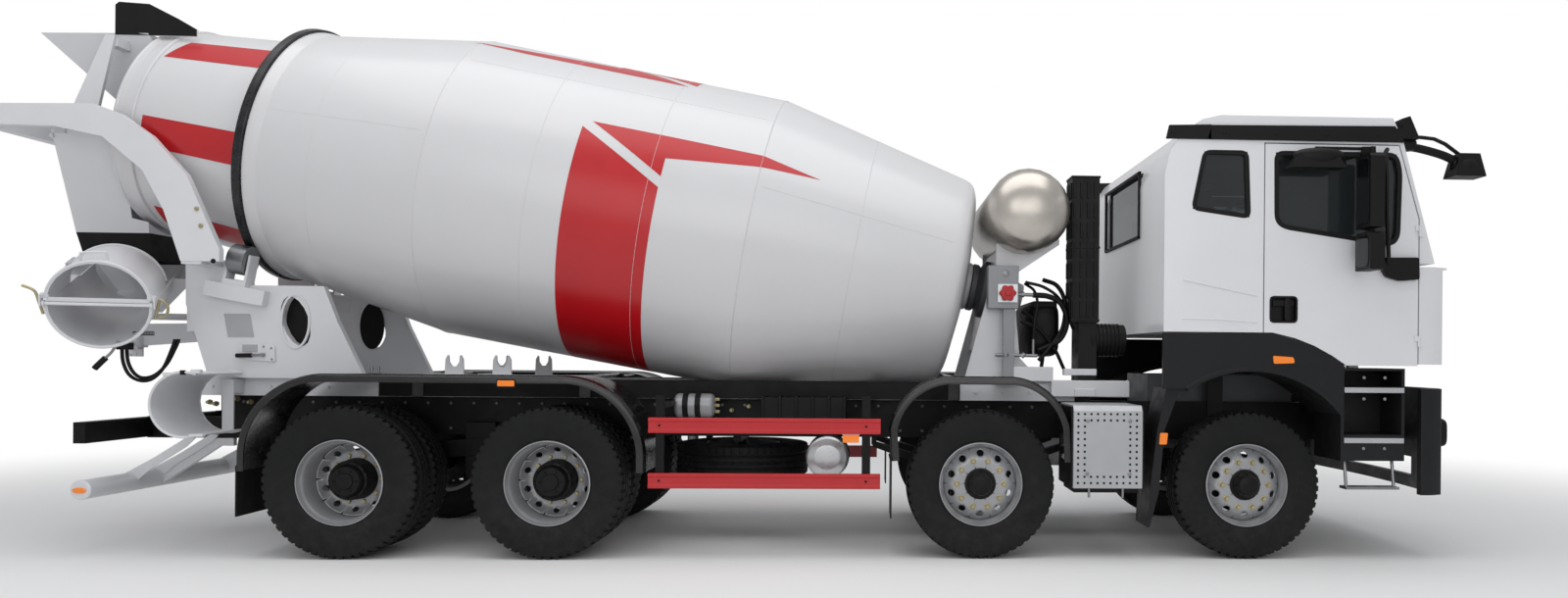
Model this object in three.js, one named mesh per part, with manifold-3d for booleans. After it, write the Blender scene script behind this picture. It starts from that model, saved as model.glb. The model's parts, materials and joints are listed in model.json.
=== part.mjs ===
// Concrete mixer truck, 8x4 chassis: two steered front axles, a driven tandem with twin wheels,
// an inclined mixing drum on a front drive and two rear rollers, and a tilting cab.
// Millimetres, +X to the front of the truck, +Y to its left side, +Z up.
// Pieces are laid out with X = 0 at the rearmost axle and Z = 0 on the ground.
import * as THREE from "three";
import { mergeVertices } from "three/addons/utils/BufferGeometryUtils.js";
import Module from "manifold-3d";

const wasm = await Module();
wasm.setup();

// ---------------------------------------------------------------- driving dimensions
const GAP = 0.3; // between pieces that rest on or are bolted to each other
const BORE_GAP = 0.7; // between a pin's corners and its bore's
const EYE_GAP = 3.7; // the same at the lift rod's eye, which follows its pin by a fixed ratio
const RUN = 8; // between pieces that move past each other
const RIGHT = -1;
const LEFT = 1;
const SIDES = [
  [RIGHT, "right"],
  [LEFT, "left"],
];

// wheels and axles
const TYRE_RADIUS = 525;
const STEER_TYRE_WIDTH = 290;
const REAR_TYRE_WIDTH = 280;
const RIM_RADIUS = 286; // bead seat
const TWIN_SPACING = 330;
const WHEEL_SIDES = 20;
const TANDEM_SPACING = 1400;
const REAR_TO_STEER = 3000;
const STEER_SPACING = 1900;
const AXLE_X = {
  rear_1: TANDEM_SPACING,
  rear_2: 0,
  steer_2: TANDEM_SPACING + REAR_TO_STEER,
  steer_1: TANDEM_SPACING + REAR_TO_STEER + STEER_SPACING,
};
const STEER_WHEEL_Y = 1030;
const REAR_WHEEL_Y = 930;
const KINGPIN_Y = 850;
const SPINDLE_RADIUS = 42;

// ladder frame
const FRAME_HALF = 430;
const RAIL_FLANGE = 90;
const RAIL_WALL = 12;
const RAIL_TOP = 1090;
const RAIL_BOTTOM = 800;
const FRAME_REAR = -1250;
const FRAME_FRONT = 7400;
const HITCH_BOTTOM = 765; // lower edge of the plates that stretch behind the frame
const BODY_HALF = 1250; // half the width over the body
const GUARD_HALF = 1215; // outer face of mudguards and side guards

// mixer subframe on top of the ladder frame
const SUBFRAME_BOTTOM = RAIL_TOP + GAP;
const SUBFRAME_TOP = 1222;
const SUBFRAME_HALF = 540;
const SUBFRAME_REAR = -1360;
const SUBFRAME_FRONT = 5180;

// drum, in its own frame: s forward along its axis from the reference point, r from the axis
const DRUM_X = -1080;
const DRUM_Z = 3007;
const DRUM_TILT = THREE.MathUtils.degToRad(10.45);
const DRUM_WALL = 10;
const DRUM_SIDES = 28;
const MOUTH_S = -751;
const MOUTH_RADIUS = 760;
const RING_S = 268; // middle of the roller ring
const RING_WIDTH = 60;
const RING_RADIUS = 990;
const NECK_RADIUS = 870; // cone behind the ring
const COLLAR_RADIUS = 955; // cone in front of the ring
const BELLY_START_S = 1599;
const BELLY_END_S = 3892;
const BELLY_RADIUS = 1160;
const FRONT_S = 5400;
const FRONT_RADIUS = 830;
const HEAD_S = 5540;
const HEAD_FLAT_RADIUS = 300;
const FLANGE_S = 5590; // face of the drive flange
const ROLLER_RADIUS = 110;
const ROLLER_WIDTH = 120;
const ROLLER_ANGLE = THREE.MathUtils.degToRad(36); // from straight below, each side

// cab
const CAB_REAR = 5665;
const CAB_FLOOR = 1382;
const CAB_ROOF = 3135;
const CAB_WALL = 60;
const CAB_SKIN = 8;
const CAB_SIDE_BOTTOM = 1612; // over the rear half of the wheel arch
const SHIELD_BASE = [7600, 2110]; // windscreen foot, x and z
const SHIELD_TOP = [7362, 2985];
const CAB_FRONT = 7745;
const DOOR_REAR = 6378;
const DOOR_FRONT = 7482;
const DOOR_TOP = 2940;
const DOOR_SWEEP = [
  [6972, 1385],
  [6870, 1452],
  [6740, 1522],
  [6600, 1575],
  [6440, CAB_SIDE_BOTTOM],
]; // lower rear edge, over the wheel arch
const DOOR_THICK = 60;
const FIREWALL = 7484; // front face of the cab's bulkhead
const GLASS = 8;
const ARCH_RADIUS = 830;
const CAB_HINGE = [7470, 990];
const HINGE_PIN = 22;
const HINGE_INNER = 330; // from the middle to the inner end of each hinge pin
const BUMPER_TOP = 1225;
const MIRROR_TIP = 7965; // front end of the front mirror, the truck's foremost point

// rear frame: two swept arms on a trestle
const TRESTLE_HALF = 640;
const TRESTLE_PLATE = 60;
const ARM_INNER = 850;
const ARM_OUTER = 905;
const PORTAL_REAR = -2720;

// loading hopper
const HOPPER_REAR = -2550;
const HOPPER_FRONT = -1750;
const HOPPER_TOP = 3765;
const HOPPER_HALVES = [480, 520]; // half widths of the rim at its rear and front
const HOPPER_FOOT = [-1880, -1500]; // rear and front of the lower end
const HOPPER_FOOT_HALF = 250;
const HOPPER_BOTTOM = 3080;
const APRON_REAR = -1990;
const APRON_TOP = 3995;
const POST_INNER = 612; // inner faces of the hopper's posts

// discharge chute: it swings about a post and tips about a cross pin; u runs down it from the pin
const CHUTE_X = -2150;
const CHUTE_PIN_Z = 1960;
const CHUTE_YAW = THREE.MathUtils.degToRad(-66);
const CHUTE_SLOPE = THREE.MathUtils.degToRad(16);
const CHUTE_RADIUS = 290;
const CHUTE_WALL = 8;
const CHUTE_END_U = 1300;
const CHUTE_AXIS_W = 119; // height of the trough's centre line over the pin, square to the slope
const CHUTE_INLET_HALF = 430;
const CHUTE_INLET_BACK = -500; // rear edge of the inlet box, from the pin
const CHUTE_INLET_CORNER = 150; // cut off each rear corner, so that it passes under the drum
const CHUTE_INLET_RIM = 126; // height of the rim over the pin
const POST_RADIUS = 40;
const POST_TOP = 1640;
const POST_BOTTOM = 1440;
const FLIP_LENGTH = 620;

// ---------------------------------------------------------------- solids
function solidOf(geometry) {
  const loose = geometry.index ? geometry.toNonIndexed() : geometry;
  const bare = new THREE.BufferGeometry();
  bare.setAttribute("position", loose.getAttribute("position"));
  const merged = mergeVertices(bare, 1e-3);
  const corners = [];
  for (let i = 0; i < merged.index.count; i += 3) {
    const [a, b, c] = merged.index.array.slice(i, i + 3);
    if (a !== b && b !== c && a !== c) corners.push(a, b, c);
  }
  const mesh = new wasm.Mesh({
    numProp: 3,
    vertProperties: merged.attributes.position.array,
    triVerts: new Uint32Array(corners),
  });
  return new wasm.Manifold(mesh);
}

function geometryOf(solid) {
  const mesh = solid.getMesh();
  const geometry = new THREE.BufferGeometry();
  geometry.setAttribute("position", new THREE.BufferAttribute(mesh.vertProperties, 3));
  geometry.setIndex(new THREE.BufferAttribute(mesh.triVerts, 1));
  geometry.computeVertexNormals();
  return geometry;
}

const join = (...solids) => solids.flat().reduce((whole, next) => whole.add(next));
const cut = (solid, ...tools) => tools.flat().reduce((whole, tool) => whole.subtract(tool), solid);

// A box between two limits on each axis; the limits may come in either order.
function block(xs, ys, zs) {
  const size = [xs, ys, zs].map(([a, b]) => Math.abs(b - a));
  const middle = [xs, ys, zs].map(([a, b]) => (a + b) / 2);
  return solidOf(new THREE.BoxGeometry(...size).translate(...middle));
}

function shapeOf(outline) {
  if (outline instanceof THREE.Shape) return outline;
  return new THREE.Shape(outline.map(([a, b]) => new THREE.Vector2(a, b)));
}

function extruded(outline, depth, curveSegments = 6) {
  return new THREE.ExtrudeGeometry(shapeOf(outline), { depth, bevelEnabled: false, curveSegments });
}

// Outlines in x and z, carried across the truck.
function acrossY(outline, ys, curveSegments) {
  const [low, high] = [Math.min(...ys), Math.max(...ys)];
  const body = extruded(outline, high - low, curveSegments);
  return solidOf(body.rotateX(Math.PI / 2).translate(0, high, 0));
}

// Outlines in y and z, carried along the truck.
function alongX(outline, xs, curveSegments) {
  const [low, high] = [Math.min(...xs), Math.max(...xs)];
  const turn = new THREE.Matrix4().set(0, 0, 1, low, 1, 0, 0, 0, 0, 1, 0, 0, 0, 0, 0, 1);
  return solidOf(extruded(outline, high - low, curveSegments).applyMatrix4(turn));
}

// A closed profile of [radius, distance along the axis], turned about Y.
function turned(profile, sides = WHEEL_SIDES, phase = 0) {
  const area = profile.reduce((sum, [r, a], i) => {
    const [r2, a2] = profile[(i + 1) % profile.length];
    return sum + r * a2 - r2 * a;
  }, 0);
  const ordered = area > 0 ? profile : [...profile].reverse();
  const loop = [...ordered, ordered[0]].map(([r, a]) => new THREE.Vector2(r, a));
  return new THREE.LatheGeometry(loop, sides, phase);
}

const turnedY = (profile, sides, phase) => solidOf(turned(profile, sides, phase));
const turnedX = (profile, sides, phase) => solidOf(turned(profile, sides, phase).rotateZ(-Math.PI / 2));
const turnedZ = (profile, sides, phase) => solidOf(turned(profile, sides, phase).rotateX(Math.PI / 2));

// A round bar from one point to another.
function bar(from, to, radius, sides = 10) {
  const [a, b] = [new THREE.Vector3(...from), new THREE.Vector3(...to)];
  const span = b.clone().sub(a);
  const geometry = new THREE.CylinderGeometry(radius, radius, span.length(), sides);
  const lean = new THREE.Quaternion().setFromUnitVectors(new THREE.Vector3(0, 1, 0), span.normalize());
  return solidOf(geometry.applyQuaternion(lean).translate(...a.add(b).multiplyScalar(0.5)));
}

// A round tube bent along a smooth curve through its points.
function bent(points, radius, steps = 8, sides = 6) {
  const ring = Array.from({ length: sides }, (_, i) => {
    const angle = (2 * Math.PI * i) / sides;
    return [radius * Math.cos(angle), radius * Math.sin(angle)];
  });
  const extrudePath = new THREE.CatmullRomCurve3(points.map((p) => new THREE.Vector3(...p)));
  return solidOf(new THREE.ExtrudeGeometry(shapeOf(ring), { steps, extrudePath, bevelEnabled: false }));
}

// A six-sided solid between a lower and an upper rectangle, each [x limits, y limits, z].
function funnel(lower, upper) {
  const corners = ([[x0, x1], [y0, y1], z]) => [
    [x0, y0, z],
    [x1, y0, z],
    [x1, y1, z],
    [x0, y1, z],
  ];
  return sixSided(corners(lower), corners(upper));
}

// A six-sided solid between four lower and four upper corners, anticlockwise from above.
function sixSided(lower, upper) {
  const points = [...lower, ...upper];
  const faces = [
    [0, 3, 2, 1],
    [4, 5, 6, 7],
    [0, 1, 5, 4],
    [1, 2, 6, 5],
    [2, 3, 7, 6],
    [3, 0, 4, 7],
  ];
  const triangles = faces.flatMap(([a, b, c, d]) => [a, b, c, a, c, d]);
  const geometry = new THREE.BufferGeometry();
  geometry.setAttribute("position", new THREE.Float32BufferAttribute(points.flat(), 3));
  geometry.setIndex(triangles);
  return solidOf(geometry);
}

// ---------------------------------------------------------------- finishes
const finish = (color, roughness, metalness = 0) =>
  new THREE.MeshStandardMaterial({ color, roughness, metalness });
const WHITE = finish(0xe6e6e8, 0.35);
const DRUM_WHITE = finish(0xe2e2e4, 0.4);
const BLACK_STEEL = finish(0x17181a, 0.55, 0.3);
const BLACK_PLASTIC = finish(0x26282b, 0.6);
const RUBBER = finish(0x1c1d1f, 0.85);
const GREY_STEEL = finish(0x8c8d8f, 0.5, 0.3);
const ALUMINIUM = finish(0xb9b8ba, 0.4, 0.6);
const STAINLESS = finish(0xb8aba4, 0.3, 0.8);
const RED = finish(0xc4161c, 0.4);
const PANE = finish(0x3a3d40, 0.1);
const TRIM = finish(0x3b3c3f, 0.7);

const truck = new THREE.Group();

function place(name, solid, material, parent = truck) {
  const mesh = new THREE.Mesh(geometryOf(solid), material);
  mesh.name = name;
  parent.add(mesh);
  return mesh;
}

// ---------------------------------------------------------------- wheels
const FLAT_DOWN = Math.PI / WHEEL_SIDES;
const TREAD_CORNER = TYRE_RADIUS / Math.cos(FLAT_DOWN); // so that the flat of the polygon is at the radius

// Section of a tyre, from its inner bead to its outer one, about its middle plane.
function tyreSection(width, middle = 0) {
  const half = width / 2;
  return [
    [RIM_RADIUS, middle - half * 0.8],
    [RIM_RADIUS + 120, middle - half],
    [TREAD_CORNER, middle - half * 0.8],
    [TREAD_CORNER, middle + half * 0.8],
    [RIM_RADIUS + 120, middle + half],
    [RIM_RADIUS, middle + half * 0.8],
  ];
}

// The axial distances of a wheel run outwards from its middle plane.
function steerWheel() {
  const section = [
    ...tyreSection(STEER_TYRE_WIDTH),
    [268, 114],
    [262, 70],
    [205, 128],
    [SPINDLE_RADIUS + 62, 152],
    [SPINDLE_RADIUS + 62, 185],
    [0, 185],
    [0, 110],
    [SPINDLE_RADIUS + BORE_GAP, 110],
    [SPINDLE_RADIUS + BORE_GAP, -30],
    [150, -30],
    [150, 92],
    [200, 96],
    [246, 30],
    [262, -114],
  ];
  return turnedY(section, WHEEL_SIDES, FLAT_DOWN);
}

function twinWheels() {
  const half = TWIN_SPACING / 2;
  const section = [
    ...tyreSection(REAR_TYRE_WIDTH, -half),
    ...tyreSection(REAR_TYRE_WIDTH, half),
    [268, half + 110],
    [255, half - 60],
    [215, 22],
    [150, 16],
    [142, 205],
    [95, 228],
    [0, 228],
    [0, 200],
    [SPINDLE_RADIUS + BORE_GAP, 200],
    [SPINDLE_RADIUS + BORE_GAP, -120],
    [150, -120],
    [150, -16],
    [215, -22],
    [255, -half + 60],
    [268, -half - 110],
  ];
  return turnedY(section, WHEEL_SIDES, FLAT_DOWN);
}

function addWheels() {
  for (const [side, word] of SIDES) {
    for (const axle of ["steer_1", "steer_2", "rear_1", "rear_2"]) {
      const steered = axle.startsWith("steer");
      const wheel = place(
        `${steered ? "steer_wheel" : "twin_wheels"}_${axle.at(-1)}_${word}`,
        steered ? steerWheel() : twinWheels(),
        RUBBER,
      );
      wheel.position.set(AXLE_X[axle], side * (steered ? STEER_WHEEL_Y : REAR_WHEEL_Y), TYRE_RADIUS);
      wheel.rotation.z = side === RIGHT ? Math.PI : 0;
    }
  }
}

// Knuckle: two lugs over and under the axle's eye, a stub axle outwards and a track arm.
const EYE_RADIUS = 58;
const EYE_HALF = 60;

function addKnuckles() {
  for (const [side, word] of SIDES) {
    for (const axle of ["1", "2"]) {
      const out = (y) => side * y;
      const lug = (low, high) => bar([0, 0, low], [0, 0, high], EYE_RADIUS - 6, 12);
      const knuckle = join(
        lug(EYE_HALF + BORE_GAP, EYE_HALF + 66),
        lug(-EYE_HALF - 66, -EYE_HALF - BORE_GAP),
        block([-48, 48], [out(EYE_RADIUS + RUN), out(EYE_RADIUS + RUN + 34)], [-EYE_HALF - 60, EYE_HALF + 60]),
        block([-40, 40], [0, out(EYE_RADIUS + RUN + 20)], [EYE_HALF + 8, EYE_HALF + 60]),
        block([-40, 40], [0, out(EYE_RADIUS + RUN + 20)], [-EYE_HALF - 60, -EYE_HALF - 8]),
        bar([0, out(EYE_RADIUS + RUN + 20), 0], [0, out(STEER_WHEEL_Y - KINGPIN_Y + 100), 0], SPINDLE_RADIUS, WHEEL_SIDES),
        block([-190, 0], [out(-20), out(20)], [-EYE_HALF - 60, -EYE_HALF - 30]),
      );
      const mesh = place(`knuckle_${axle}_${word}`, knuckle, BLACK_STEEL);
      mesh.position.set(AXLE_X[`steer_${axle}`], side * KINGPIN_Y, TYRE_RADIUS);
    }
  }
}

// ---------------------------------------------------------------- axles and springs
// Front axle: dropped I-beam with an eye at each end, and a leaf spring and seat under each rail.
const SPRING_Y = FRAME_HALF - RAIL_FLANGE / 2;

function frontAxle() {
  const beam = [
    [-KINGPIN_Y + EYE_RADIUS - 12, 40],
    [-KINGPIN_Y + EYE_RADIUS - 12, -40],
    [-SPRING_Y - 150, -120],
    [SPRING_Y + 150, -120],
    [KINGPIN_Y - EYE_RADIUS + 12, -40],
    [KINGPIN_Y - EYE_RADIUS + 12, 40],
    [SPRING_Y + 110, -20],
    [-SPRING_Y - 110, -20],
  ];
  const parts = [alongX(beam, [-45, 45])];
  for (const side of [RIGHT, LEFT]) {
    const y = side * SPRING_Y;
    const leaf = springLeaf(760, 150, RAIL_BOTTOM - TYRE_RADIUS - 30, 45);
    parts.push(bar([0, side * KINGPIN_Y, -EYE_HALF], [0, side * KINGPIN_Y, EYE_HALF], EYE_RADIUS, 12));
    parts.push(acrossY(leaf, [y - 42, y + 42]));
    parts.push(block([-70, 70], [y - 60, y + 60], [-30, 120]));
    for (const end of [-1, 1]) {
      const hanger = [RAIL_BOTTOM - TYRE_RADIUS - 60, RAIL_BOTTOM - TYRE_RADIUS - GAP];
      parts.push(block([end * 730, end * 770], [y - 42, y + 42], hanger));
    }
  }
  return join(parts);
}

// A leaf pack as a bow: [half length, sag at the middle, height of the eyes, thickness].
function springLeaf(half, sag, eyeHeight, thick) {
  const steps = 4;
  const bow = (offset) =>
    Array.from({ length: steps + 1 }, (_, i) => {
      const t = -1 + (2 * i) / steps;
      return [t * half, eyeHeight - sag * (1 - t * t) + offset];
    });
  const under = bow(0).map(([x, z], i) => {
    const t = -1 + (2 * i) / steps;
    return [x, z - thick - 45 * (1 - Math.abs(t))];
  });
  return [...under, ...bow(0).reverse()];
}

// Both driven axles, joined by the springs that rock on the trunnion between them.
function rearBogie() {
  const parts = [];
  const middle = (AXLE_X.rear_1 + AXLE_X.rear_2) / 2;
  for (const x of [AXLE_X.rear_1, AXLE_X.rear_2]) {
    const tube = REAR_WHEEL_Y + 180;
    parts.push(bar([x, -REAR_WHEEL_Y + 140, TYRE_RADIUS], [x, REAR_WHEEL_Y - 140, TYRE_RADIUS], 75, 10));
    parts.push(bar([x, -tube, TYRE_RADIUS], [x, tube, TYRE_RADIUS], SPINDLE_RADIUS, WHEEL_SIDES));
    const casing = turnedX([[0, -190], [215, -110], [215, 110], [0, 190]], 12);
    parts.push(moved(casing, x, 0, TYRE_RADIUS));
  }
  for (const side of [RIGHT, LEFT]) {
    const y = side * 480;
    const spring = springLeaf(TANDEM_SPACING / 2 + 90, -150, TYRE_RADIUS + 90, 90);
    parts.push(moved(acrossY(spring, [y - 45, y + 45]), middle, 0, 20));
    parts.push(
      block([middle - 110, middle + 110], [side * (FRAME_HALF + GAP), side * 520], [TYRE_RADIUS - 30, 900]),
    );
  }
  parts.push(bar([middle, -500, TYRE_RADIUS], [middle, 500, TYRE_RADIUS], 60, 12));
  return join(parts);
}

function moved(solid, x, y, z) {
  return solidOf(geometryOf(solid).toNonIndexed().translate(x, y, z));
}

function addAxles() {
  for (const axle of ["1", "2"]) {
    const mesh = place(`front_axle_${axle}`, frontAxle(), BLACK_STEEL);
    mesh.position.set(AXLE_X[`steer_${axle}`], 0, TYRE_RADIUS);
  }
  place("rear_bogie", rearBogie(), BLACK_STEEL);
}

// ---------------------------------------------------------------- chassis
function chassisFrame() {
  const parts = [];
  for (const side of [RIGHT, LEFT]) {
    const ys = [side * FRAME_HALF, side * (FRAME_HALF - RAIL_FLANGE)];
    const web = block([FRAME_REAR, FRAME_FRONT], ys, [RAIL_BOTTOM, RAIL_TOP]);
    const channel = block(
      [FRAME_REAR - 10, FRAME_FRONT + 10],
      [side * (FRAME_HALF - RAIL_WALL), side * (FRAME_HALF - RAIL_FLANGE - 10)],
      [RAIL_BOTTOM + RAIL_WALL, RAIL_TOP - RAIL_WALL],
    );
    parts.push(cut(web, channel));
    parts.push(block([-1790, FRAME_REAR + 300], [side * (FRAME_HALF - 2), side * (FRAME_HALF - 20)], [HITCH_BOTTOM, 925]));
    parts.push(hingeEar(side));
  }
  const inner = FRAME_HALF - 6;
  for (const x of [-1200, -350, 700, 2050, 2950, 3700, 5250]) {
    parts.push(block([x - 45, x + 45], [-inner, inner], [RAIL_BOTTOM + 30, RAIL_TOP - 40]));
  }
  parts.push(block([7300, 7380], [-inner, inner], [RAIL_BOTTOM, RAIL_BOTTOM + 120]));
  parts.push(block([-1830, -1750], [-1120, 1120], [775, 920]));
  return join(parts);
}

// Ear that carries the cab's front hinge.
function hingeEar(side) {
  const [x, z] = CAB_HINGE;
  const ys = [side * (FRAME_HALF - 30), side * (FRAME_HALF - 2)];
  const arm = acrossY([[7380, z - 50], [x, z - 50], [x + 45, z], [x, z + 45], [7380, z + 60]], ys);
  const pin = bar([x, side * HINGE_INNER, z], [x, side * (FRAME_HALF - 4), z], HINGE_PIN, 16);
  return join(arm, pin);
}

function engine() {
  return join(
    block([5800, 6950], [-330, 330], [720, 1300]),
    block([5310, 5810], [-190, 190], [740, 1060]),
    block([6100, 6200], [-FRAME_HALF + RAIL_WALL + GAP, FRAME_HALF - RAIL_WALL - GAP], [900, 960]),
  );
}

function frontBumper() {
  const plan = (inset, back) => {
    const shape = new THREE.Shape();
    const half = BODY_HALF - 5 - inset;
    shape.moveTo(back, -half);
    shape.lineTo(7600 - inset, -half);
    shape.quadraticCurveTo(7700 - inset, -half, 7735 - inset, -half + 160);
    shape.quadraticCurveTo(7790 - inset, -450, 7790 - inset, 0);
    shape.quadraticCurveTo(7790 - inset, 450, 7735 - inset, half - 160);
    shape.quadraticCurveTo(7700 - inset, half, 7600 - inset, half);
    shape.lineTo(back, half);
    return shape;
  };
  const shell = extruded(plan(0, 7515), BUMPER_TOP - 470, 2).translate(0, 0, 470);
  const bay = extruded(plan(60, 7400), 1225, 2).translate(0, 0, 440);
  const mouth = block([7600, 7820], [-760, 760], [560, 700]);
  const hangers = [RIGHT, LEFT].map((side) =>
    block([7400 + GAP, 7740], [side * (FRAME_HALF - RAIL_FLANGE), side * FRAME_HALF], [RAIL_BOTTOM, RAIL_BOTTOM + 110]),
  );
  return join(cut(solidOf(shell), solidOf(bay), mouth), hangers);
}

// Front wheel arch, entry steps and the guard behind the wheel, one moulding on each side.
function fender(side) {
  const wheelX = AXLE_X.steer_1;
  const outer = side * (BODY_HALF - 4);
  const arc = (radius, from, to, steps = 6) =>
    Array.from({ length: steps + 1 }, (_, i) => {
      const angle = THREE.MathUtils.degToRad(from + ((to - from) * i) / steps);
      return [wheelX + radius * Math.cos(angle), TYRE_RADIUS + radius * Math.sin(angle)];
    });
  const top = CAB_SIDE_BOTTOM - RUN;
  const skin = [
    [CAB_REAR, 1212],
    ...arc(ARCH_RADIUS, 124, 40),
    [6948, 1225],
    ...DOOR_SWEEP.map(([x, z]) => [x - 6, z - RUN]),
    [CAB_REAR, top],
  ];
  const panel = acrossY(skin, [outer, side * (BODY_HALF - 36)]);
  const liner = acrossY(
    [...arc(ARCH_RADIUS, 124, 40), ...arc(ARCH_RADIUS + 12, 40, 124)],
    [outer, side * 690],
  );
  const bracket = block([6240, 6360], [side * (FRAME_HALF + GAP), side * 760], [1340, 1362]);
  const post = block([6240, 6360], [side * (FRAME_HALF + GAP), side * (FRAME_HALF + 14)], [980, 1362]);
  return join(panel, liner, bracket, post, stepBox(side), rearFlap(side));
}

function stepBox(side) {
  const outer = side * (BODY_HALF - 6);
  const inner = side * 800;
  const [rear, front] = [6936, 7395];
  const box = block([rear, front], [outer, inner], [712, 1366]);
  const well = (z0, z1) => block([rear + 22, front - 22], [side * BODY_HALF, side * 930], [z0, z1]);
  const stand = join(
    block([rear, front], [inner, side * 700], [1100, 1130]),
    block([rear, front], [side * 760, side * (FRAME_HALF + GAP)], [1096, 1126]),
    block([rear + 100, front - 100], [side * (FRAME_HALF + GAP), side * (FRAME_HALF + 14)], [1000, 1126]),
  );
  const kick = join(
    bar([7005, side * 1150, 720], [7005, side * 1185, 520], 12, 8),
    bar([7350, side * 1150, 720], [7350, side * 1185, 520], 12, 8),
    block([6985, 7370], [side * 1120, side * 1230], [508, 526]),
  );
  return join(cut(box, well(895, 1190), well(1236, 1350)), stand, kick);
}

// Strip and rubber flap behind the first wheel, standing off the arch's rear end.
function rearFlap(side) {
  const strip = [
    [5800, 1216],
    [5700, 1216],
    [5640, 930],
    [5588, 480],
    [5572, 235],
    [5590, 235],
    [5652, 480],
    [5690, 920],
  ];
  return join(
    acrossY(strip, [side * (BODY_HALF - 40), side * 880]),
    block([5700, 5845], [side * (BODY_HALF - 36), side * (BODY_HALF - 60)], [1190, 1240]),
  );
}

// Mudguard outline as a thin band over a list of points, thickened downwards towards the wheel.
function band(points, thick) {
  const line = points.map(([x, z]) => new THREE.Vector2(x, z));
  const inside = line.map((point, i) => {
    const before = line[Math.max(i - 1, 0)];
    const after = line[Math.min(i + 1, line.length - 1)];
    const along = after.clone().sub(before).normalize();
    return point.clone().add(new THREE.Vector2(along.y, -along.x).multiplyScalar(thick));
  });
  return [...line, ...inside.reverse()].map(({ x, y }) => [x, y]);
}

// A quarter turn of the guard between straight runs: centre, radius, angles in degrees.
function sweep([x, z], radius, from, to, steps) {
  return Array.from({ length: steps + 1 }, (_, i) => {
    const angle = THREE.MathUtils.degToRad(from + ((to - from) * i) / steps);
    return [x + radius * Math.cos(angle), z + radius * Math.sin(angle)];
  });
}

const STAY = 14; // radius of the tubes that carry the mudguards

function guardStay(x, z) {
  return bar([x, -GUARD_HALF + 8, z], [x, GUARD_HALF - 8, z], STAY, 8);
}

function stayFoot(x, z, side) {
  return block(
    [x - 40, x + 40],
    [side * (SUBFRAME_HALF + GAP), side * (SUBFRAME_HALF + 15)],
    [SUBFRAME_BOTTOM, z + STAY],
  );
}

function mudguardFront() {
  const x = AXLE_X.steer_2;
  const line = [
    [x - 628, 690],
    ...sweep([x - 205, 835], 445, 170, 95, 3),
    ...sweep([x + 185, 835], 445, 85, 12, 3),
    [x + 632, 690],
  ];
  const parts = [guardStay(x - 150, 1262)];
  for (const side of [RIGHT, LEFT]) {
    parts.push(acrossY(band(line, 9), [side * GUARD_HALF, side * 830]));
    parts.push(acrossY(band(line, 50), [side * GUARD_HALF, side * (GUARD_HALF - 14)]));
    parts.push(block([x - 640, x - 627], [side * GUARD_HALF, side * 860], [290, 720]));
    parts.push(stayFoot(x - 150, 1262, side));
  }
  return join(parts);
}

function mudguardRear() {
  const front = AXLE_X.rear_1 + 655;
  const rear = AXLE_X.rear_2 - 690;
  const line = [
    [rear, 600],
    ...sweep([rear + 560, 702], 560, 178, 92, 4),
    ...sweep([front - 560, 702], 560, 88, 2, 4),
    [front, 600],
  ];
  const parts = [guardStay(250, 1247), guardStay(1480, 1247)];
  for (const side of [RIGHT, LEFT]) {
    parts.push(acrossY(band(line, 9), [side * GUARD_HALF, side * (TRESTLE_HALF + 15)]));
    parts.push(acrossY(band(line, 50), [side * GUARD_HALF, side * (GUARD_HALF - 14)]));
    parts.push(block([rear - 4, rear + 8], [side * GUARD_HALF, side * (TRESTLE_HALF + 15)], [290, 640]));
    parts.push(stayFoot(250, 1247, side), stayFoot(1480, 1247, side));
  }
  return join(parts);
}

// Two rails between the axles on a pair of posts.
function sideGuard(side) {
  const [rear, front] = [2085, 3690];
  const parts = [];
  for (const [low, high] of [
    [494, 600],
    [876, 984],
  ]) {
    parts.push(block([rear, front], [side * GUARD_HALF, side * (GUARD_HALF - 30)], [low, high]));
  }
  for (const x of [2160, 3590]) {
    parts.push(block([x - 28, x + 28], [side * (GUARD_HALF - 24), side * (GUARD_HALF - 60)], [500, 1080]));
    parts.push(block([x - 28, x + 28], [side * (GUARD_HALF - 40), side * (FRAME_HALF + GAP)], [1040, 1080]));
  }
  return join(parts);
}

function batteryBox() {
  const box = [
    [-1222, 507],
    [-1222, 1050],
    [-1190, 1090],
    [-720, 1090],
    [-720, 507],
  ];
  return join(
    alongX(box, [5042, 5532]),
    block([5120, 5180], [-725, -FRAME_HALF - GAP], [840, 1060]),
    block([5400, 5460], [-725, -FRAME_HALF - GAP], [840, 1060]),
  );
}

function fuelTank() {
  const section = new THREE.Shape();
  const [inner, outer, low, high, r] = [560, 1190, 480, 1060, 90];
  section.moveTo(inner + r, low);
  section.lineTo(outer - r, low);
  section.quadraticCurveTo(outer, low, outer, low + r);
  section.lineTo(outer, high - r);
  section.quadraticCurveTo(outer, high, outer - r, high);
  section.lineTo(inner + r, high);
  section.quadraticCurveTo(inner, high, inner, high - r);
  section.lineTo(inner, low + r);
  section.quadraticCurveTo(inner, low, inner + r, low);
  return join(
    alongX(section, [5036, 5540], 3),
    block([5120, 5180], [FRAME_HALF + GAP, 600], [840, 1040]),
    block([5400, 5460], [FRAME_HALF + GAP, 600], [840, 1040]),
  );
}

const SPARE_Z = 600;

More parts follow.
